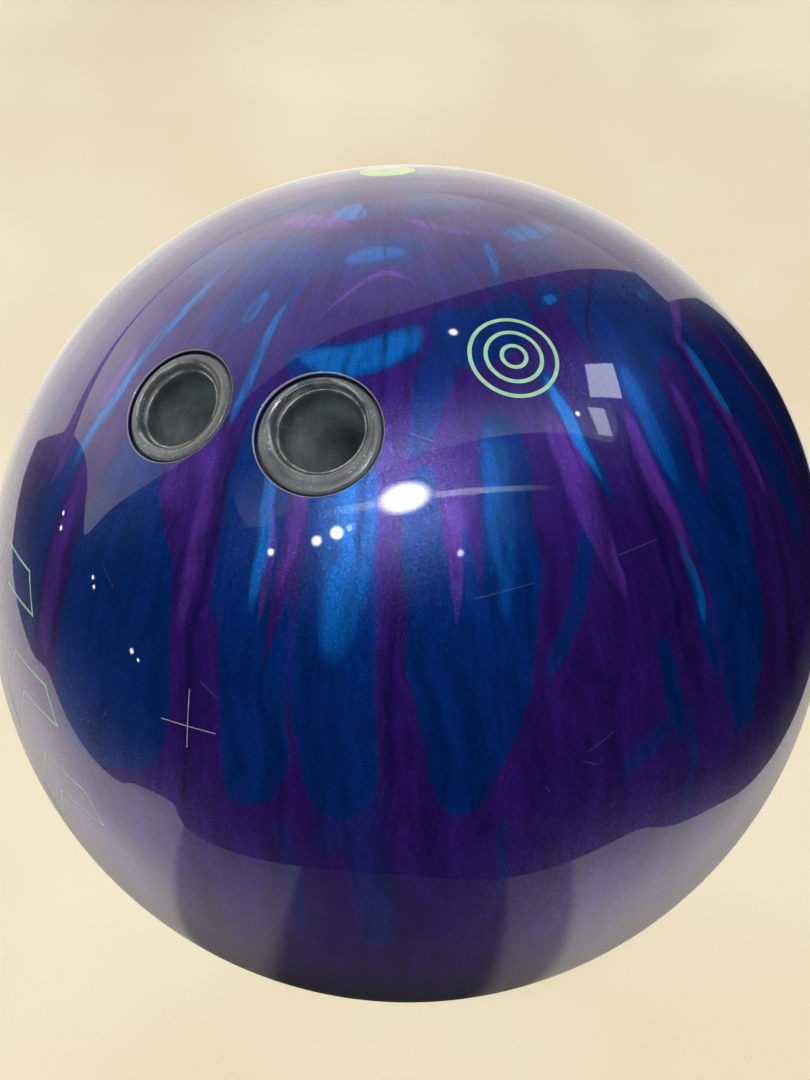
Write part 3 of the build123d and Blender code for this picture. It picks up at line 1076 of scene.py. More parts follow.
# ------------------------------------------------------------------ sub-assemblies
@dataclass(frozen=True)
class FingerHole:
    """One drilled finger hole, with its frame at the mouth: Z out along the drill, X to the right.

    Attributes:
        mount: The bore mount of its insert.
        node: The CAD node of its insert.
    """

    mount: str
    node: str
    radius: float = 11.1125 * MM
    depth: float = 57.0 * MM
    edge_rounding: float = 0.35 * MM

    @property
    def axis(self) -> Vector:
        """Outward direction of the hole."""
        return unit(self._record()["axis"])

    @property
    def bore_radius(self) -> float:
        """Radius of the insert's bore."""
        return self._record()["dims"]["r_mm"] * MM

    @property
    def bore_mouth(self) -> Vector:
        """Middle of the bore's mouth."""
        return Vector(self._record()["pos_m"])

    def _record(self) -> dict:
        """The mount as the record states it."""
        return next(m for m in frame["record"]["mounts"] if m["name"] == self.mount)

    @property
    def mouth(self) -> Vector:
        """Where the hole's axis meets the ball's surface.

        Returns:
            The point.
        """
        axis = np.array(self.axis)
        points = node_points(self.node)
        heights = points @ axis
        foot = points[heights < heights.min() + 0.1 * MM]
        middle = (foot.max(axis=0) + foot.min(axis=0)) / 2
        middle = self._fit_centre(foot, middle)
        centre = middle - axis * (middle @ axis)
        rise = math.sqrt(LAYOUT.radius**2 - centre @ centre)
        return Vector(centre + axis * rise)

    def _fit_centre(self, foot: np.ndarray, start: np.ndarray) -> np.ndarray:
        """Centre of the insert's outer edge at its foot.

        Args:
            foot: Points of the foot.
            start: A first guess.

        Returns:
            The centre of the circle through the outermost of them.
        """
        axis = np.array(self.axis)
        side = np.array(self.axis.orthogonal().normalized())
        other = np.cross(axis, side)
        flat = np.stack([(foot - start) @ side, (foot - start) @ other], axis=1)
        reach = np.linalg.norm(flat, axis=1)
        rim = flat[reach > 0.88 * reach.max()]
        matrix = np.column_stack([2 * rim, np.ones(len(rim))])
        solved = np.linalg.lstsq(matrix, (rim**2).sum(axis=1), rcond=None)[0]
        return start + side * solved[0] + other * solved[1]

    def frame(self) -> Matrix:
        """The hole's own axes and mouth.

        Returns:
            The matrix from the hole's frame to the ball's.
        """
        z = self.axis
        x = (FINGER_LINE - z * FINGER_LINE.dot(z)).normalized()
        y = z.cross(x)
        rotation = Matrix((x, y, z)).transposed().to_4x4()
        return Matrix.Translation(self.mouth) @ rotation

    def bore_offset(self) -> tuple[float, float]:
        """How far the bore lies off the hole's axis, along the hole's X and Y."""
        place = self.frame().inverted() @ self.bore_mouth
        return place.x, place.y

    def surface_height(self, x: np.ndarray, y: np.ndarray) -> np.ndarray:
        """Height of the ball's surface over the mouth's plane, in the hole's own frame.

        Args:
            x: Places along the hole's X.
            y: Places along the hole's Y.

        Returns:
            Heights along the hole's Z.
        """
        centre = self.frame().inverted() @ Vector((0.0, 0.0, 0.0))
        return centre.z + np.sqrt(LAYOUT.radius**2 - (x - centre.x) ** 2 - (y - centre.y) ** 2)

    def place(self, points: np.ndarray) -> np.ndarray:
        """Points of the hole's own frame, in the ball's."""
        matrix = np.array(self.frame())
        return points @ matrix[:3, :3].T + matrix[:3, 3]

    def cutter(self, segments: int = 160) -> bpy.types.Object:
        """The material the drill and the edge tool take out.

        Args:
            segments: Points round the hole.

        Returns:
            A closed helper object.
        """
        turn = np.linspace(0, 2 * math.pi, segments, endpoint=False)
        unit_x, unit_y = np.cos(turn), np.sin(turn)
        rings = [self._ring(unit_x, unit_y, self.radius, -self.depth, False)]
        rings.append(self._ring(unit_x, unit_y, self.radius, -self.depth * 0.5, False))
        for step in range(7):
            angle = step / 6 * math.pi / 2
            out = self.radius + self.edge_rounding * (1 - math.cos(angle))
            drop = -self.edge_rounding * (1 - math.sin(angle))
            rings.append(self._ring(unit_x, unit_y, out, drop, True))
        rings.append(self._ring(unit_x, unit_y, self.radius + 2 * self.edge_rounding, 1.0 * MM, True))
        return add_object(f"{self.node}_cutter", ring_mesh(f"{self.node}_cutter", rings))

    def _ring(
        self,
        unit_x: np.ndarray,
        unit_y: np.ndarray,
        radius: float,
        height: float,
        follow: bool,
    ) -> np.ndarray:
        """One ring of points about the hole's axis.

        Args:
            unit_x: Cosines round the ring.
            unit_y: Sines round the ring.
            radius: Its radius.
            height: Its height.
            follow: Whether the height counts from the ball's curved surface.

        Returns:
            The points, in the ball's frame.
        """
        x, y = unit_x * radius, unit_y * radius
        z = np.full(len(x), height)
        if follow:
            z = z + self.surface_height(x, y)
        return self.place(np.stack([x, y, z], axis=1))


HOLES = (
    FingerHole("middle_finger_bore", "middle_finger_insert"),
    FingerHole("ring_finger_bore", "ring_finger_insert"),
)
GRIP = HOLES[0].axis
FINGER_LINE = (HOLES[0].mouth - HOLES[1].mouth).normalized()


@dataclass(frozen=True)
class GripCross:
    """The two scribed lines that mark the centre of the grip.

    Attributes:
        arc: Distance over the ball from the middle of the grip.
        heading: Degrees clockwise from the finger line.
        turn: Degrees clockwise from the way to the ball's top, of the first line.
        arm: Length of a line.
        width: Width of a line.
        depth: Depth of a line.
        shift: How far the second line lies off the middle of the first.
    """

    arc: float = 55.0 * MM
    heading: float = 86.8
    turn: float = 71.6
    arm: float = 11.3 * MM
    width: float = 0.24 * MM
    depth: float = 0.15 * MM
    shift: float = 1.4 * MM

    @property
    def centre(self) -> Vector:
        """Direction of the cross from the ball's centre.

        Returns:
            The direction.
        """
        heading = math.radians(self.heading)
        along = FINGER_LINE * math.cos(heading) + FINGER_LINE.cross(GRIP) * math.sin(heading)
        angle = self.arc / LAYOUT.radius
        return (GRIP * math.cos(angle) + along * math.sin(angle)).normalized()

    def tools(self) -> list[bpy.types.Object]:
        """The two lines as cutters that follow the ball's curve.

        Returns:
            The helper objects.
        """
        out = self.centre
        east = Z_AXIS.cross(out).normalized()
        turn = math.radians(self.turn)
        first = out.cross(east) * math.cos(turn) + east * math.sin(turn)
        second = out.cross(first)
        return [self._tool("cross_first", first, 0.0), self._tool("cross_second", second, self.shift)]

    def _tool(self, name: str, way: Vector, shift: float) -> bpy.types.Object:
        """One line as a cutter.

        Args:
            name: The helper's name.
            way: Tangent along the line.
            shift: How far its middle lies along the way.

        Returns:
            The helper object.
        """
        side = self.centre.cross(way)
        above = LAYOUT.radius + 1.0 * MM
        rings = []
        for share in (-1.0, -0.97, -0.8, -0.6, -0.4, -0.2, 0.0, 0.2, 0.4, 0.6, 0.8, 0.97, 1.0):
            angle = (share * self.arm / 2 + shift) / LAYOUT.radius
            out = self.centre * math.cos(angle) + way * math.sin(angle)
            low = out * (LAYOUT.radius - self.depth * (1.0 if abs(share) < 1 else -0.2))
            spread = side * self.width / 2 * (above - LAYOUT.radius + self.depth) / self.depth
            rings.append(np.array([tuple(p) for p in (low, out * above + spread, out * above - spread)]))
        return add_object(name, ring_mesh(name, rings))


@dataclass
class Coverstock:
    """The pearl cover: a thick shell, drilled, engraved and polished."""

    outer_level: int = 7
    inner_level: int = 5
    overcut: float = 1.5 * MM
    on_surface: float = 0.02 * MM
    finish: PearlCover = field(default_factory=PearlCover)

    MARKS = (
        "locator_ring_inner",
        "locator_ring_middle",
        "locator_ring_outer",
        "chevron_outline_upper",
        "chevron_outline_middle",
        "chevron_outline_lower",
    )

    def build(self) -> bpy.types.Object:
        """Makes the cover and puts it in place of its CAD node.

        Returns:
            The piece.
        """
        shell = self._shell()
        for hole in HOLES:
            self._cut(shell, hole.cutter())
        self._cut(shell, self._raised_copy("core_pin"))
        for name in self.MARKS:
            self._cut(shell, self._raised_copy(name))
        for tool in GripCross().tools():
            self._cut(shell, tool)
        self._polish(shell)
        shell.data.materials.clear()
        shell.data.materials.append(self.finish.dress())
        return stands_for(shell, "coverstock")

    def _shell(self) -> bpy.types.Object:
        """The undrilled shell: an outer and an inner skin in one mesh.

        Returns:
            The shell.
        """
        skins = bmesh.new()
        bmesh.ops.create_icosphere(skins, subdivisions=self.outer_level, radius=LAYOUT.radius)
        inner = bmesh.ops.create_icosphere(skins, subdivisions=self.inner_level, radius=LAYOUT.core_radius)
        faces = {face for vertex in inner["verts"] for face in vertex.link_faces}
        bmesh.ops.reverse_faces(skins, faces=list(faces))
        mesh = bpy.data.meshes.new("pearl_coverstock")
        skins.to_mesh(mesh)
        skins.free()
        return add_object("pearl_coverstock", mesh)

    def _raised_copy(self, node: str) -> bpy.types.Object:
        """A CAD node as a cutter, its outer skin raised clear of the ball.

        Args:
            node: The node's name.

        Returns:
            The helper object.
        """
        mesh = frame["nodes"][node].data.copy()
        points = node_points(node)
        reach = np.linalg.norm(points, axis=1, keepdims=True)
        outer = reach > LAYOUT.radius - 0.2 * MM
        points = np.where(outer, points / reach * (LAYOUT.radius + self.overcut), points)
        mesh.vertices.foreach_set("co", points.ravel())
        mesh.update()
        welded = bmesh.new()
        welded.from_mesh(mesh)
        bmesh.ops.remove_doubles(welded, verts=welded.verts, dist=0.001 * MM)
        welded.to_mesh(mesh)
        welded.free()
        return add_object(f"{node}_cutter", mesh)

    def _cut(self, shell: bpy.types.Object, tool: bpy.types.Object) -> None:
        """Takes a cutter out of the shell and deletes it.

        Args:
            shell: The shell.
            tool: The cutter.
        """
        fixed = bmesh.new()
        fixed.from_mesh(tool.data)
        bmesh.ops.recalc_face_normals(fixed, faces=fixed.faces)
        fixed.to_mesh(tool.data)
        fixed.free()
        modifier = shell.modifiers.new("cut", "BOOLEAN")
        modifier.operation = "DIFFERENCE"
        modifier.solver = "EXACT"
        modifier.object = tool
        graph = bpy.context.evaluated_depsgraph_get()
        cut = bpy.data.meshes.new_from_object(shell.evaluated_get(graph))
        shell.modifiers.clear()
        old = shell.data
        cut.name = old.name
        shell.data = cut
        bpy.data.meshes.remove(old)
        remove(tool)

    def _polish(self, shell: bpy.types.Object) -> None:
        """Gives the ball's skin exact round normals and every other face smooth ones.

        Args:
            shell: The cut shell.
        """
        mesh = shell.data
        points = np.empty(len(mesh.vertices) * 3)
        mesh.vertices.foreach_get("co", points)
        points = points.reshape(-1, 3)
        reach = np.linalg.norm(points, axis=1)
        on_skin = np.abs(reach - LAYOUT.radius) < self.on_surface
        points[on_skin] *= (LAYOUT.radius / reach[on_skin])[:, None]
        mesh.vertices.foreach_set("co", points.ravel())
        mesh.update()
        shade_smooth(mesh, 30.0)
        corners = np.empty(len(mesh.loops), dtype=np.int32)
        mesh.loops.foreach_get("vertex_index", corners)
        normals = np.empty(len(mesh.loops) * 3, dtype=np.float32)
        mesh.corner_normals.foreach_get("vector", normals)
        normals = normals.reshape(-1, 3)
        starts = np.empty(len(mesh.polygons), dtype=np.int32)
        totals = np.empty(len(mesh.polygons), dtype=np.int32)
        mesh.polygons.foreach_get("loop_start", starts)
        mesh.polygons.foreach_get("loop_total", totals)
        face_of = np.repeat(np.arange(len(starts)), totals)
        whole = np.logical_and.reduceat(on_skin[corners], starts)
        outside = whole[face_of]
        normals[outside] = (points[corners] / np.linalg.norm(points[corners], axis=1, keepdims=True))[outside]
        mesh.normals_split_custom_set(normals.tolist())


@dataclass
class FingerInsert:
    """A vinyl insert: a tube with a rounded lip and a soft stepped funnel into its bore."""

    hole: FingerHole
    outer_radius: float = 10.7 * MM
    length: float = 38.0 * MM
    below_surface: float = 0.4 * MM
    lip_width: float = 1.4 * MM
    lip_rounding: float = 0.65 * MM
    funnel_depth: float = 2.0 * MM
    step: float = 0.4 * MM
    segments: int = 192

    def build(self) -> bpy.types.Object:
        """Makes the insert and puts it in place of its CAD node.

        Returns:
            The piece.
        """
        turn = np.linspace(0, 2 * math.pi, self.segments, endpoint=False)
        rings = [self._ring(turn, *station) for station in self._stations()]
        mesh = ring_mesh(self.hole.node, rings, closed=True)
        tidy = bmesh.new()
        tidy.from_mesh(mesh)
        bmesh.ops.recalc_face_normals(tidy, faces=tidy.faces)
        tidy.to_mesh(mesh)
        tidy.free()
        shade_smooth(mesh, 50.0)
        vinyl = SmokeVinyl(self.hole.bore_mouth, self.hole.axis)
        made = add_object(f"vinyl_{self.hole.node}", mesh, vinyl.dress())
        return stands_for(made, self.hole.node)

    def _stations(self) -> list[tuple[float, float, float, bool]]:
        """The insert's profile from the foot, up the outside and down the bore.

        Returns:
            Radius, share of the bore's offset, height, and whether the height follows the ball.
        """
        outer, bore, top = self.outer_radius, self.hole.bore_radius, -self.below_surface
        rounding = self.lip_rounding
        stations = [(outer, 0.0, -self.length, False), (outer, 0.0, -6 * MM, True)]
        for step in range(9):
            angle = step / 8 * math.pi / 2
            reach = outer - rounding * (1 - math.cos(angle))
            stations.append((reach, 0.0, top - rounding * (1 - math.sin(angle)), True))
        inner_lip = outer - self.lip_width
        stations.append((inner_lip + 0.25 * MM, 0.0, top, True))
        for step in range(1, 13):
            share = step / 12
            reach = inner_lip + (bore + self.step - inner_lip) * share
            drop = self.funnel_depth * (0.35 * share + 0.65 * share**2.2)
            groove = 0.06 * MM if step == 5 else 0.0
            stations.append((reach, share, top - drop - groove, True))
        for step in range(1, 5):
            angle = step / 4 * math.pi / 2
            reach = bore + self.step * (1 - math.sin(angle))
            drop = self.funnel_depth + self.step * (1 - math.cos(angle))
            stations.append((reach, 1.0, top - drop, True))
        stations.append((bore, 1.0, -5 * MM, True))
        stations.append((bore, 1.0, -self.length, False))
        return stations

    def _ring(self, turn: np.ndarray, radius: float, share: float, height: float, follow: bool) -> np.ndarray:
        """One ring of the profile.

        Args:
            turn: Angles round the hole.
            radius: The ring's radius.
            share: Share of the bore's offset from the hole's axis.
            height: The ring's height.
            follow: Whether the height counts from the ball's surface.

        Returns:
            The points, in the ball's frame.
        """
        dx, dy = self.hole.bore_offset()
        x = np.cos(turn) * radius + dx * share
        y = np.sin(turn) * radius + dy * share
        z = np.full(len(x), height)
        if follow:
            z = z + self.hole.surface_height(x, y)
        return self.hole.place(np.stack([x, y, z], axis=1))


@dataclass
class InnerCore:
    """The pieces inside the ball: filler, weight block, pin and the glue round the inserts."""

    def build(self) -> list[bpy.types.Object]:
        """Dresses the pieces that stay as the frame has them.

        Returns:
            The pieces.
        """
        glue = GLUE_AND_GAP_SHADE.dress()
        return [
            shown_as("outer_core", FILLER.dress()),
            shown_as("weight_block", BLOCK_RESIN.dress()),
            shown_as("core_pin", PIN_RESIN.dress()),
            shown_as("middle_finger_adhesive", glue),
            shown_as("ring_finger_adhesive", glue),
        ]


@dataclass
class PaintedMarks:
    """The green enamel in the engraved rings and outlines."""

    def build(self) -> list[bpy.types.Object]:
        """Dresses the paint that stays as the frame has it."""
        paint = GREEN_PAINT.dress()
        return [shown_as(name, paint) for name in Coverstock.MARKS]


# ------------------------------------------------------------------ studio
def sky(bearing: float, elevation: float) -> Vector:
    """A direction by its bearing, from the back towards the right, and its elevation, in degrees."""
    turn, lift = math.radians(bearing), math.radians(elevation)
    return Vector((math.sin(turn) * math.cos(lift), math.cos(turn) * math.cos(lift), math.sin(lift)))


def smooth_loop(outline: Sequence[Sequence[float]], steps: int) -> list[Vector]:
    """A closed smooth line through points.

    Args:
        outline: The points, all of the same dimension.
        steps: Steps from each to the next.

    Returns:
        Points of the smooth line.
    """
    points = [Vector(p) for p in outline]
    count = len(points)
    smooth = []
    for i in range(count):
        a, b, c, d = (points[(i + k) % count] for k in (-1, 0, 1, 2))
        for step in range(steps):
            t = step / steps
            place = b * 2 + (c - a) * t + (a * 2 - b * 5 + c * 4 - d) * t**2 + (b * 3 - a - c * 3 + d) * t**3
            smooth.append(place / 2)
    return smooth


def polygon(name: str, points: Sequence[Vector], faces: Sequence[Sequence[int]]) -> bpy.types.Mesh:
    """A flat or folded sheet.

    Args:
        name: The mesh's name.
        points: Its points.
        faces: Its faces, each as numbers of points.

    Returns:
        The mesh.
    """
    mesh = bpy.data.meshes.new(name)
    mesh.from_pydata([tuple(p) for p in points], [], faces)
    return mesh


def mirrored(name: str, mesh: bpy.types.Mesh, material: bpy.types.Material) -> bpy.types.Object:
    """Adds a card of the studio that shows only in reflections.

    Args:
        name: Its name.
        mesh: Its mesh.
        material: Its glow.

    Returns:
        The card.
    """
    card = add_object(name, mesh, material)
    card.visible_camera = False
    card.visible_diffuse = False
    card.visible_transmission = False
    card.visible_volume_scatter = False
    card.visible_shadow = False
    return card


def circle(steps: int, radius: float = 1.0, height: float = 0.0) -> list[Vector]:
    """Points of a level circle.

    Args:
        steps: How many.
        radius: Its radius.
        height: Its height.

    Returns:
        The points.
    """
    turns = np.linspace(0, 2 * math.pi, steps, endpoint=False)
    return [Vector((math.cos(turn) * radius, math.sin(turn) * radius, height)) for turn in turns]


@dataclass(frozen=True)
class SmallLamp:
    """A small round lamp of the room: bearing, elevation, radius and brightness."""

    bearing: float
    elevation: float
    radius: float
    brightness: float


@dataclass
class MirroredRoom:
    """The dark room that the gloss mirrors: a sheet behind, ceiling light, lamps and a floor.

    Attributes:
        room_radius: Radius of the dark room.
        gloom: Colour of what little light the dark room gives off.
        gloom_strength: Its strength.
        sheet_radius: How far off the sheet stands.
        ceiling: Height of the ceiling over the ball's centre.
        sheet: Outline of the sheet as (bearing, elevation), in degrees.
        cloth: Outline of the lit cloth on the floor, in metres.
        panes: Corners of the window panes as (bearing, elevation), in degrees.
        lamps: The small lamps.
    """

    room_radius: float = 4.0
    gloom: Colour = (0.8, 0.9, 1.0)
    gloom_strength: float = 0.006
    sheet_radius: float = 3.0
    ceiling: float = 1.9
    sheet: Sequence[tuple[float, float]] = (
        (50, -43), (41, -35), (38, -20), (34.5, -3), (30, 12.5), (24.5, 26), (15, 38), (1, 46),
        (-19, 49), (-36, 49), (-57, 45.5), (-75, 37), (-80, 27), (-83, 15), (-85, 6.5), (-79, 7.5),
        (-70, 4.5), (-63, -5), (-59.5, -15), (-62, -24), (-60, -38), (0, -52),
    )
    cloth: Sequence[tuple[float, float]] = (
        (0.36, 0.42), (0.23, 0.21), (0.222, 0.13), (0.238, 0.04), (0.236, -0.05), (0.248, -0.12),
        (0.285, -0.19), (0.325, -0.29), (0.40, -0.45), (0.33, -0.58), (0.24, -0.68), (0.14, -0.88),
        (-0.04, -1.1), (-0.25, -0.96), (-0.33, -0.75), (-0.37, -0.58), (-0.43, -0.49), (-0.62, -0.60),
        (-0.55, -0.42), (-0.45, -0.30), (-0.45, -0.20), (-0.52, -0.11), (-0.45, -0.06), (-0.42, 0.0),
        (-0.40, 0.06), (-0.41, 0.11), (-0.45, 0.20), (-0.60, 0.32), (-1.45, 0.85), (-1.6, 2.3),
        (0.0, 2.95), (1.7, 2.2), (0.95, 1.25),
    )
    panes: Sequence[Sequence[tuple[float, float]]] = (
        ((49, 37), (51, 30), (60, 33), (58, 41)),
        ((58, 49), (62, 39), (70, 39.5), (68, 48.5)),
    )
    lamps: Sequence[SmallLamp] = (
        SmallLamp(-114.6, 53.9, 0.05, 30),
        SmallLamp(-122.8, 64.3, 0.07, 40),
        SmallLamp(-126.7, 69.1, 0.09, 50),
        SmallLamp(-130, 72, 0.05, 12),
        SmallLamp(145, 68.6, 0.05, 18),
        SmallLamp(14.8, 51, 0.055, 30),
        SmallLamp(58.6, 52, 0.035, 30),
        SmallLamp(62, 46.2, 0.035, 30),
        SmallLamp(-93.6, 7.4, 0.022, 30),
        SmallLamp(-95.3, 7.0, 0.022, 30),
        SmallLamp(-78.5, -1.0, 0.022, 25),
        SmallLamp(-80.8, -1.9, 0.025, 25),
        SmallLamp(-111, 10.6, 0.032, 30),
        SmallLamp(-113.3, 10.9, 0.02, 30),
    )

    def build(self) -> None:
        """Makes every card."""
        self._dark_room()
        self._sheet()
        self._ceiling_band()
        self._ceiling_lamp()
        self._floor()
        for index, corners in enumerate(self.panes):
            loop = [sky(*corner) * 2.8 for corner in corners]
            pane = Shader(f"window_pane_{index}").glow((0.80, 0.88, 1.0), 7.0)
            mirrored(f"window_pane_{index}", polygon("pane", loop, [(0, 1, 2, 3)]), pane)
        for index, lamp in enumerate(self.lamps):
            self._small_lamp(index, lamp)

    def _dark_room(self) -> None:
        """The dark walls around everything."""
        skin = bmesh.new()
        bmesh.ops.create_icosphere(skin, subdivisions=4, radius=self.room_radius)
        mesh = bpy.data.meshes.new("dark_room")
        skin.to_mesh(mesh)
        skin.free()
        mirrored("dark_room", mesh, Shader("dark_room").glow(self.gloom, self.gloom_strength))

    def _sheet(self) -> None:
        """The pale sheet behind the ball, which arches over to the left."""
        outline = smooth_loop([sky(*corner) for corner in self.sheet], 6)
        middle = sky(-14, 8) * self.sheet_radius
        points = [middle]
        rows = 12
        count = len(outline)
        for row in range(1, rows + 1):
            for corner in outline:
                way = middle.lerp(corner * self.sheet_radius, row / rows).normalized()
                points.append(way * self.sheet_radius)
        faces = [(0, 1 + i, 1 + (i + 1) % count) for i in range(count)]
        for row in range(rows - 1):
            low, high = 1 + row * count, 1 + (row + 1) * count
            for i in range(count):
                j = (i + 1) % count
                faces.append((low + i, low + j, high + j, high + i))
        shader = Shader("sheet_glow")
        way = shader.position().unit()
        lift = way.dot(Z_AXIS)
        drape = shader.noise_value(way, 3.0, 2.0, 0.5)
        level = lift.step(0.75, 0.0, 0.48, 1.0) * drape.step(0.3, 0.7, 0.8, 1.2)
        level = level * way.dot(X_AXIS).step(-0.1, 0.5, 1.0, 0.76)
        tint = shader.mix(lift.step(0.7, 0.1), (0.9, 0.92, 1.0), (1.0, 0.93, 0.78))
        mirrored("sheet", polygon("sheet", points, faces), shader.glow(shader.brighten(tint, level), 1.25))

    def _ceiling_band(self) -> None:
        """The lit strip of ceiling over the ball, brightest along its front edge."""
        front, back = (-1.5, -0.30), (2.25, 0.80)
        shader = Shader("ceiling_glow")
        place = shader.position()
        slope = (back[1] - front[1]) / (back[0] - front[0])
        behind = place.dot(Vector((-slope, 1.0, 0.0))) - (front[1] - slope * front[0])
        level = behind.step(0.62, 0.0) * place.dot(X_AXIS).step(-1.2, 0.2, 0.6, 1.0)
        loop = smooth_loop(
            (
                (-1.5, -0.32, self.ceiling),
                (-0.7, -0.10, self.ceiling),
                (-0.1, 0.10, self.ceiling),
                (0.42, 0.285, self.ceiling),
                (0.9, 0.44, self.ceiling),
                (1.5, 0.60, self.ceiling),
                (2.2, 0.75, self.ceiling),
                (2.1, 1.3, self.ceiling),
                (0.2, 1.0, self.ceiling),
                (-1.5, 0.5, self.ceiling),
            ),
            4,
        )
        glow = shader.glow(shader.brighten((0.85, 0.92, 1.0), level), 1.1)
        mirrored("ceiling_band", polygon("ceiling_band", loop, [tuple(range(len(loop)))]), glow)

    def _ceiling_lamp(self) -> None:
        """The bright lamp over the ball with its soft halo, and the thin tube beside it."""
        shader = Shader("ceiling_lamp_glow")
        place = shader.position()
        core = place.length()
        level = core.step(0.40, 0.0)
        cover = core.step(0.42, 0.34)
        glow = shader.glow(shader.brighten((1.0, 0.99, 0.95), level), 75.0, lights=True, cover=cover)
        disc_mesh = polygon("ceiling_lamp_disc", circle(64), [tuple(range(64))])
        disc = mirrored("ceiling_lamp_disc", disc_mesh, glow)
        disc.location = (-0.03, -0.17, self.ceiling - 0.02)
        disc.scale = (0.62, 0.36, 1.0)
        disc.rotation_euler = (0.0, 0.0, math.radians(15))
        shader = Shader("tube_glow")
        along = shader.position().dot(X_AXIS)
        fade = along.step(1.35, 0.3) * along.step(-0.8, -0.1)
        glow = shader.glow(shader.brighten((0.95, 0.98, 1.0), fade), 5.0)
        ends = [Vector(p) for p in ((-0.8, -0.33, 0), (1.4, 0.02, 0), (1.4, 0.06, 0), (-0.8, -0.27, 0))]
        tube = mirrored("ceiling_tube", polygon("ceiling_tube", ends, [(0, 1, 2, 3)]), glow)
        tube.location = (0.0, 0.0, self.ceiling - 0.01)

    def _floor(self) -> None:
        """The floor: dark beyond the cloth, and the lit cloth with the shade in front of the ball."""
        low = -LAYOUT.radius + 0.5 * MM
        dark = Shader("dark_floor").glow(self.gloom, self.gloom_strength)
        rim = circle(64, self.room_radius - 0.1, low)
        mirrored("dark_floor", polygon("dark_floor", rim, [tuple(range(64))]), dark)
        height = -LAYOUT.radius + 1.0 * MM
        shader = Shader("lit_cloth")
        place = shader.position()
        x = place.dot(X_AXIS)
        near = place.dot(Vector((0.0, -1.0, 0.0)))
        away = (place - Vector((0.0, 0.0, height))).length()
        drape = shader.noise_value(place, 6.0, 2.0, 0.5)
        shade_half = (near - 0.13) * 0.34 + 0.045
        core = (abs(x + 0.014) - shade_half).step(0.006, -0.012) * near.step(0.08, 0.14)
        penumbra_left = (x * -1.0 - (near - 0.13) * 0.95 - 0.10).step(0.008, -0.008)
        penumbra_right = (x - (near - 0.15) * 0.62 - 0.065).step(0.008, -0.008)
        half_shade = penumbra_left * penumbra_right * near.step(0.06, 0.11)
        # painted shade: the cloth's glow dims to a quarter near the ball's foot, and under the shade in front
        # of the ball
        level = away.step(0.10, 0.30, 0.25, 1.0) * drape.step(0.3, 0.7, 0.9, 1.1)
        level = level * (1.0 - half_shade * 0.62) * (1.0 - core * 0.8) * x.step(0.02, 0.45, 1.0, 0.72)
        glow = shader.glow(shader.brighten((1.0, 0.93, 0.80), level), 1.1)
        outline = smooth_loop(self.cloth, 6)
        points = [Vector((0.0, 0.0, height)), *(Vector((p.x, p.y, height)) for p in outline)]
        count = len(outline)
        faces = [(0, 1 + i, 1 + (i + 1) % count) for i in range(count)]
        mirrored("lit_cloth", polygon("lit_cloth", points, faces), glow)

    def _small_lamp(self, index: int, lamp: SmallLamp) -> None:
        """A small lamp with a soft edge.

        Args:
            index: Its number.
            lamp: Its size and place.
        """
        name = f"small_lamp_{index}"
        shader = Shader(name)
        level = shader.position().length().step(1.0, 0.2)
        glow = shader.glow(shader.brighten((1.0, 0.98, 0.95), level), lamp.brightness)
        disc = mirrored(name, polygon(name, circle(24), [tuple(range(24))]), glow)
        place = sky(lamp.bearing, lamp.elevation) * 2.6
        disc.location = place
        disc.scale = (lamp.radius, lamp.radius, 1.0)
        disc.rotation_euler = (-place).to_track_quat("Z", "Y").to_euler()


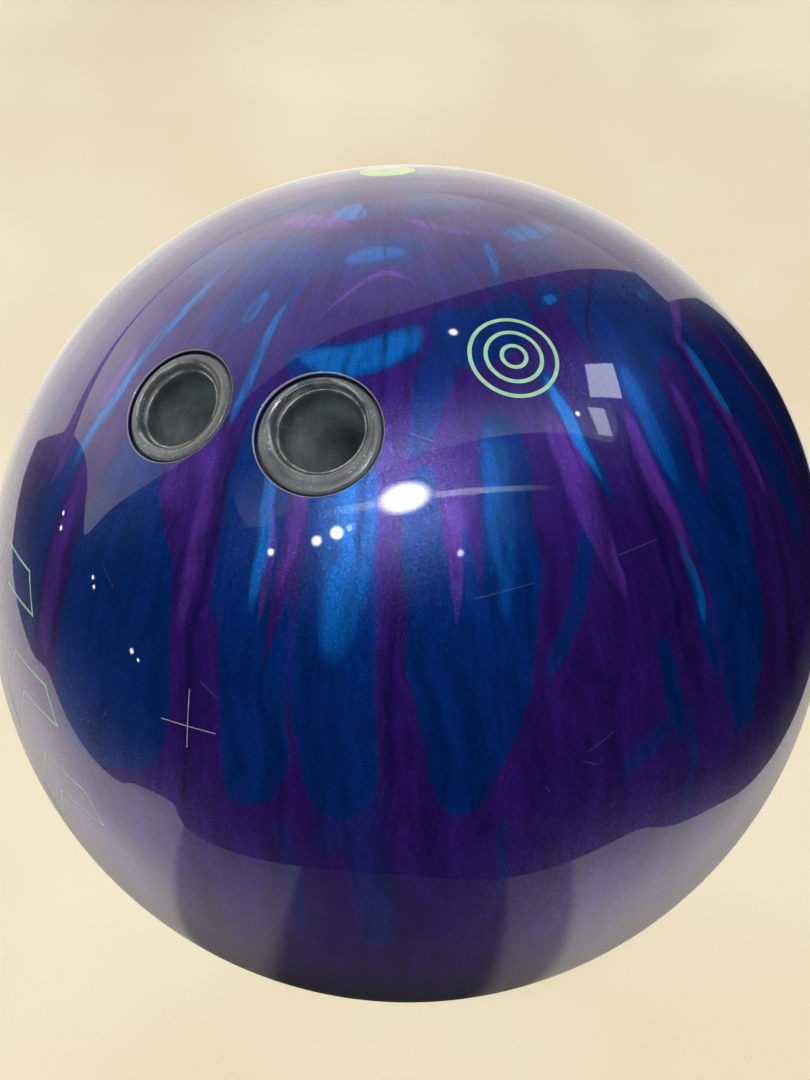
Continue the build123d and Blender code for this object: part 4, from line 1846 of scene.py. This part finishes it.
@dataclass
class Studio:
    """Floor, lamps, soft daylight and camera."""

    floor_half: float = 6.0
    camera_place: Vector = field(default_factory=lambda: Vector((-0.77, -96.04, 226.26)) * MM)
    camera_pitch: float = 64.636
    sensor: float = 36.0
    focal_length: float = 28.3333333

    def build(self) -> None:
        """Makes the whole studio."""
        self._floor()
        self._area_lamp("ceiling_lamp", Vector((-0.03, -0.17, 1.9)), (0.5, 0.35), 30.0, (1.0, 0.97, 0.92))
        self._area_lamp("soft_fill", Vector((-0.8, -1.6, 1.7)), (1.6, 1.6), 8.0, (0.94, 0.97, 1.0))
        self._world()
        self._camera()

    def _floor(self) -> None:
        """A pale cloth floor under the ball."""
        half, low = self.floor_half, -LAYOUT.radius
        corners = [Vector((x * half, y * half, low)) for x, y in ((-1, -1), (1, -1), (1, 1), (-1, 1))]
        add_object("floor", polygon("floor", corners, [(0, 1, 2, 3)]), CreamCloth().dress())

    def _area_lamp(
        self,
        name: str,
        place: Vector,
        size: tuple[float, float],
        power: float,
        colour: Colour,
    ) -> None:
        """A rectangular lamp that faces the ball and does not show in reflections.

        Args:
            name: Its name.
            place: Its place.
            size: Its sides.
            power: Its power, in watts.
            colour: Its colour.
        """
        light = bpy.data.lights.new(name, "AREA")
        light.shape = "RECTANGLE"
        light.size, light.size_y = size
        light.energy = power
        light.color = colour
        made = bpy.data.objects.new(name, light)
        made.location = place
        made.rotation_euler = (-place).to_track_quat("-Z", "Y").to_euler()
        made.visible_glossy = False
        bpy.context.scene.collection.objects.link(made)

    def _world(self) -> None:
        """Soft, even light from all round."""
        world = bpy.data.worlds.new("studio")
        bpy.context.scene.world = world
        world.use_nodes = True
        background = world.node_tree.nodes["Background"]
        background.inputs["Color"].default_value = (0.96, 0.97, 1.0, 1.0)
        background.inputs["Strength"].default_value = 0.3

    def _camera(self) -> None:
        """The camera, above and in front of the ball."""
        data = bpy.data.cameras.new("camera")
        data.sensor_width = self.sensor
        data.lens = self.focal_length
        data.clip_start = 0.01
        camera = bpy.data.objects.new("camera", data)
        camera.location = self.camera_place
        camera.rotation_euler = (math.radians(90 - self.camera_pitch), 0.0, 0.0)
        bpy.context.scene.collection.objects.link(camera)
        bpy.context.scene.camera = camera


# ------------------------------------------------------------------ main
def main() -> None:
    """Builds the ball and its studio, and reports each piece."""
    logging.basicConfig(level=logging.INFO, format="%(name)s: %(message)s")
    bpy.context.scene.view_settings.view_transform = "Standard"
    Coverstock().build()
    for hole in HOLES:
        FingerInsert(hole).build()
    InnerCore().build()
    PaintedMarks().build()
    MirroredRoom().build()
    Studio().build()


if __name__ == "__main__":
    main()
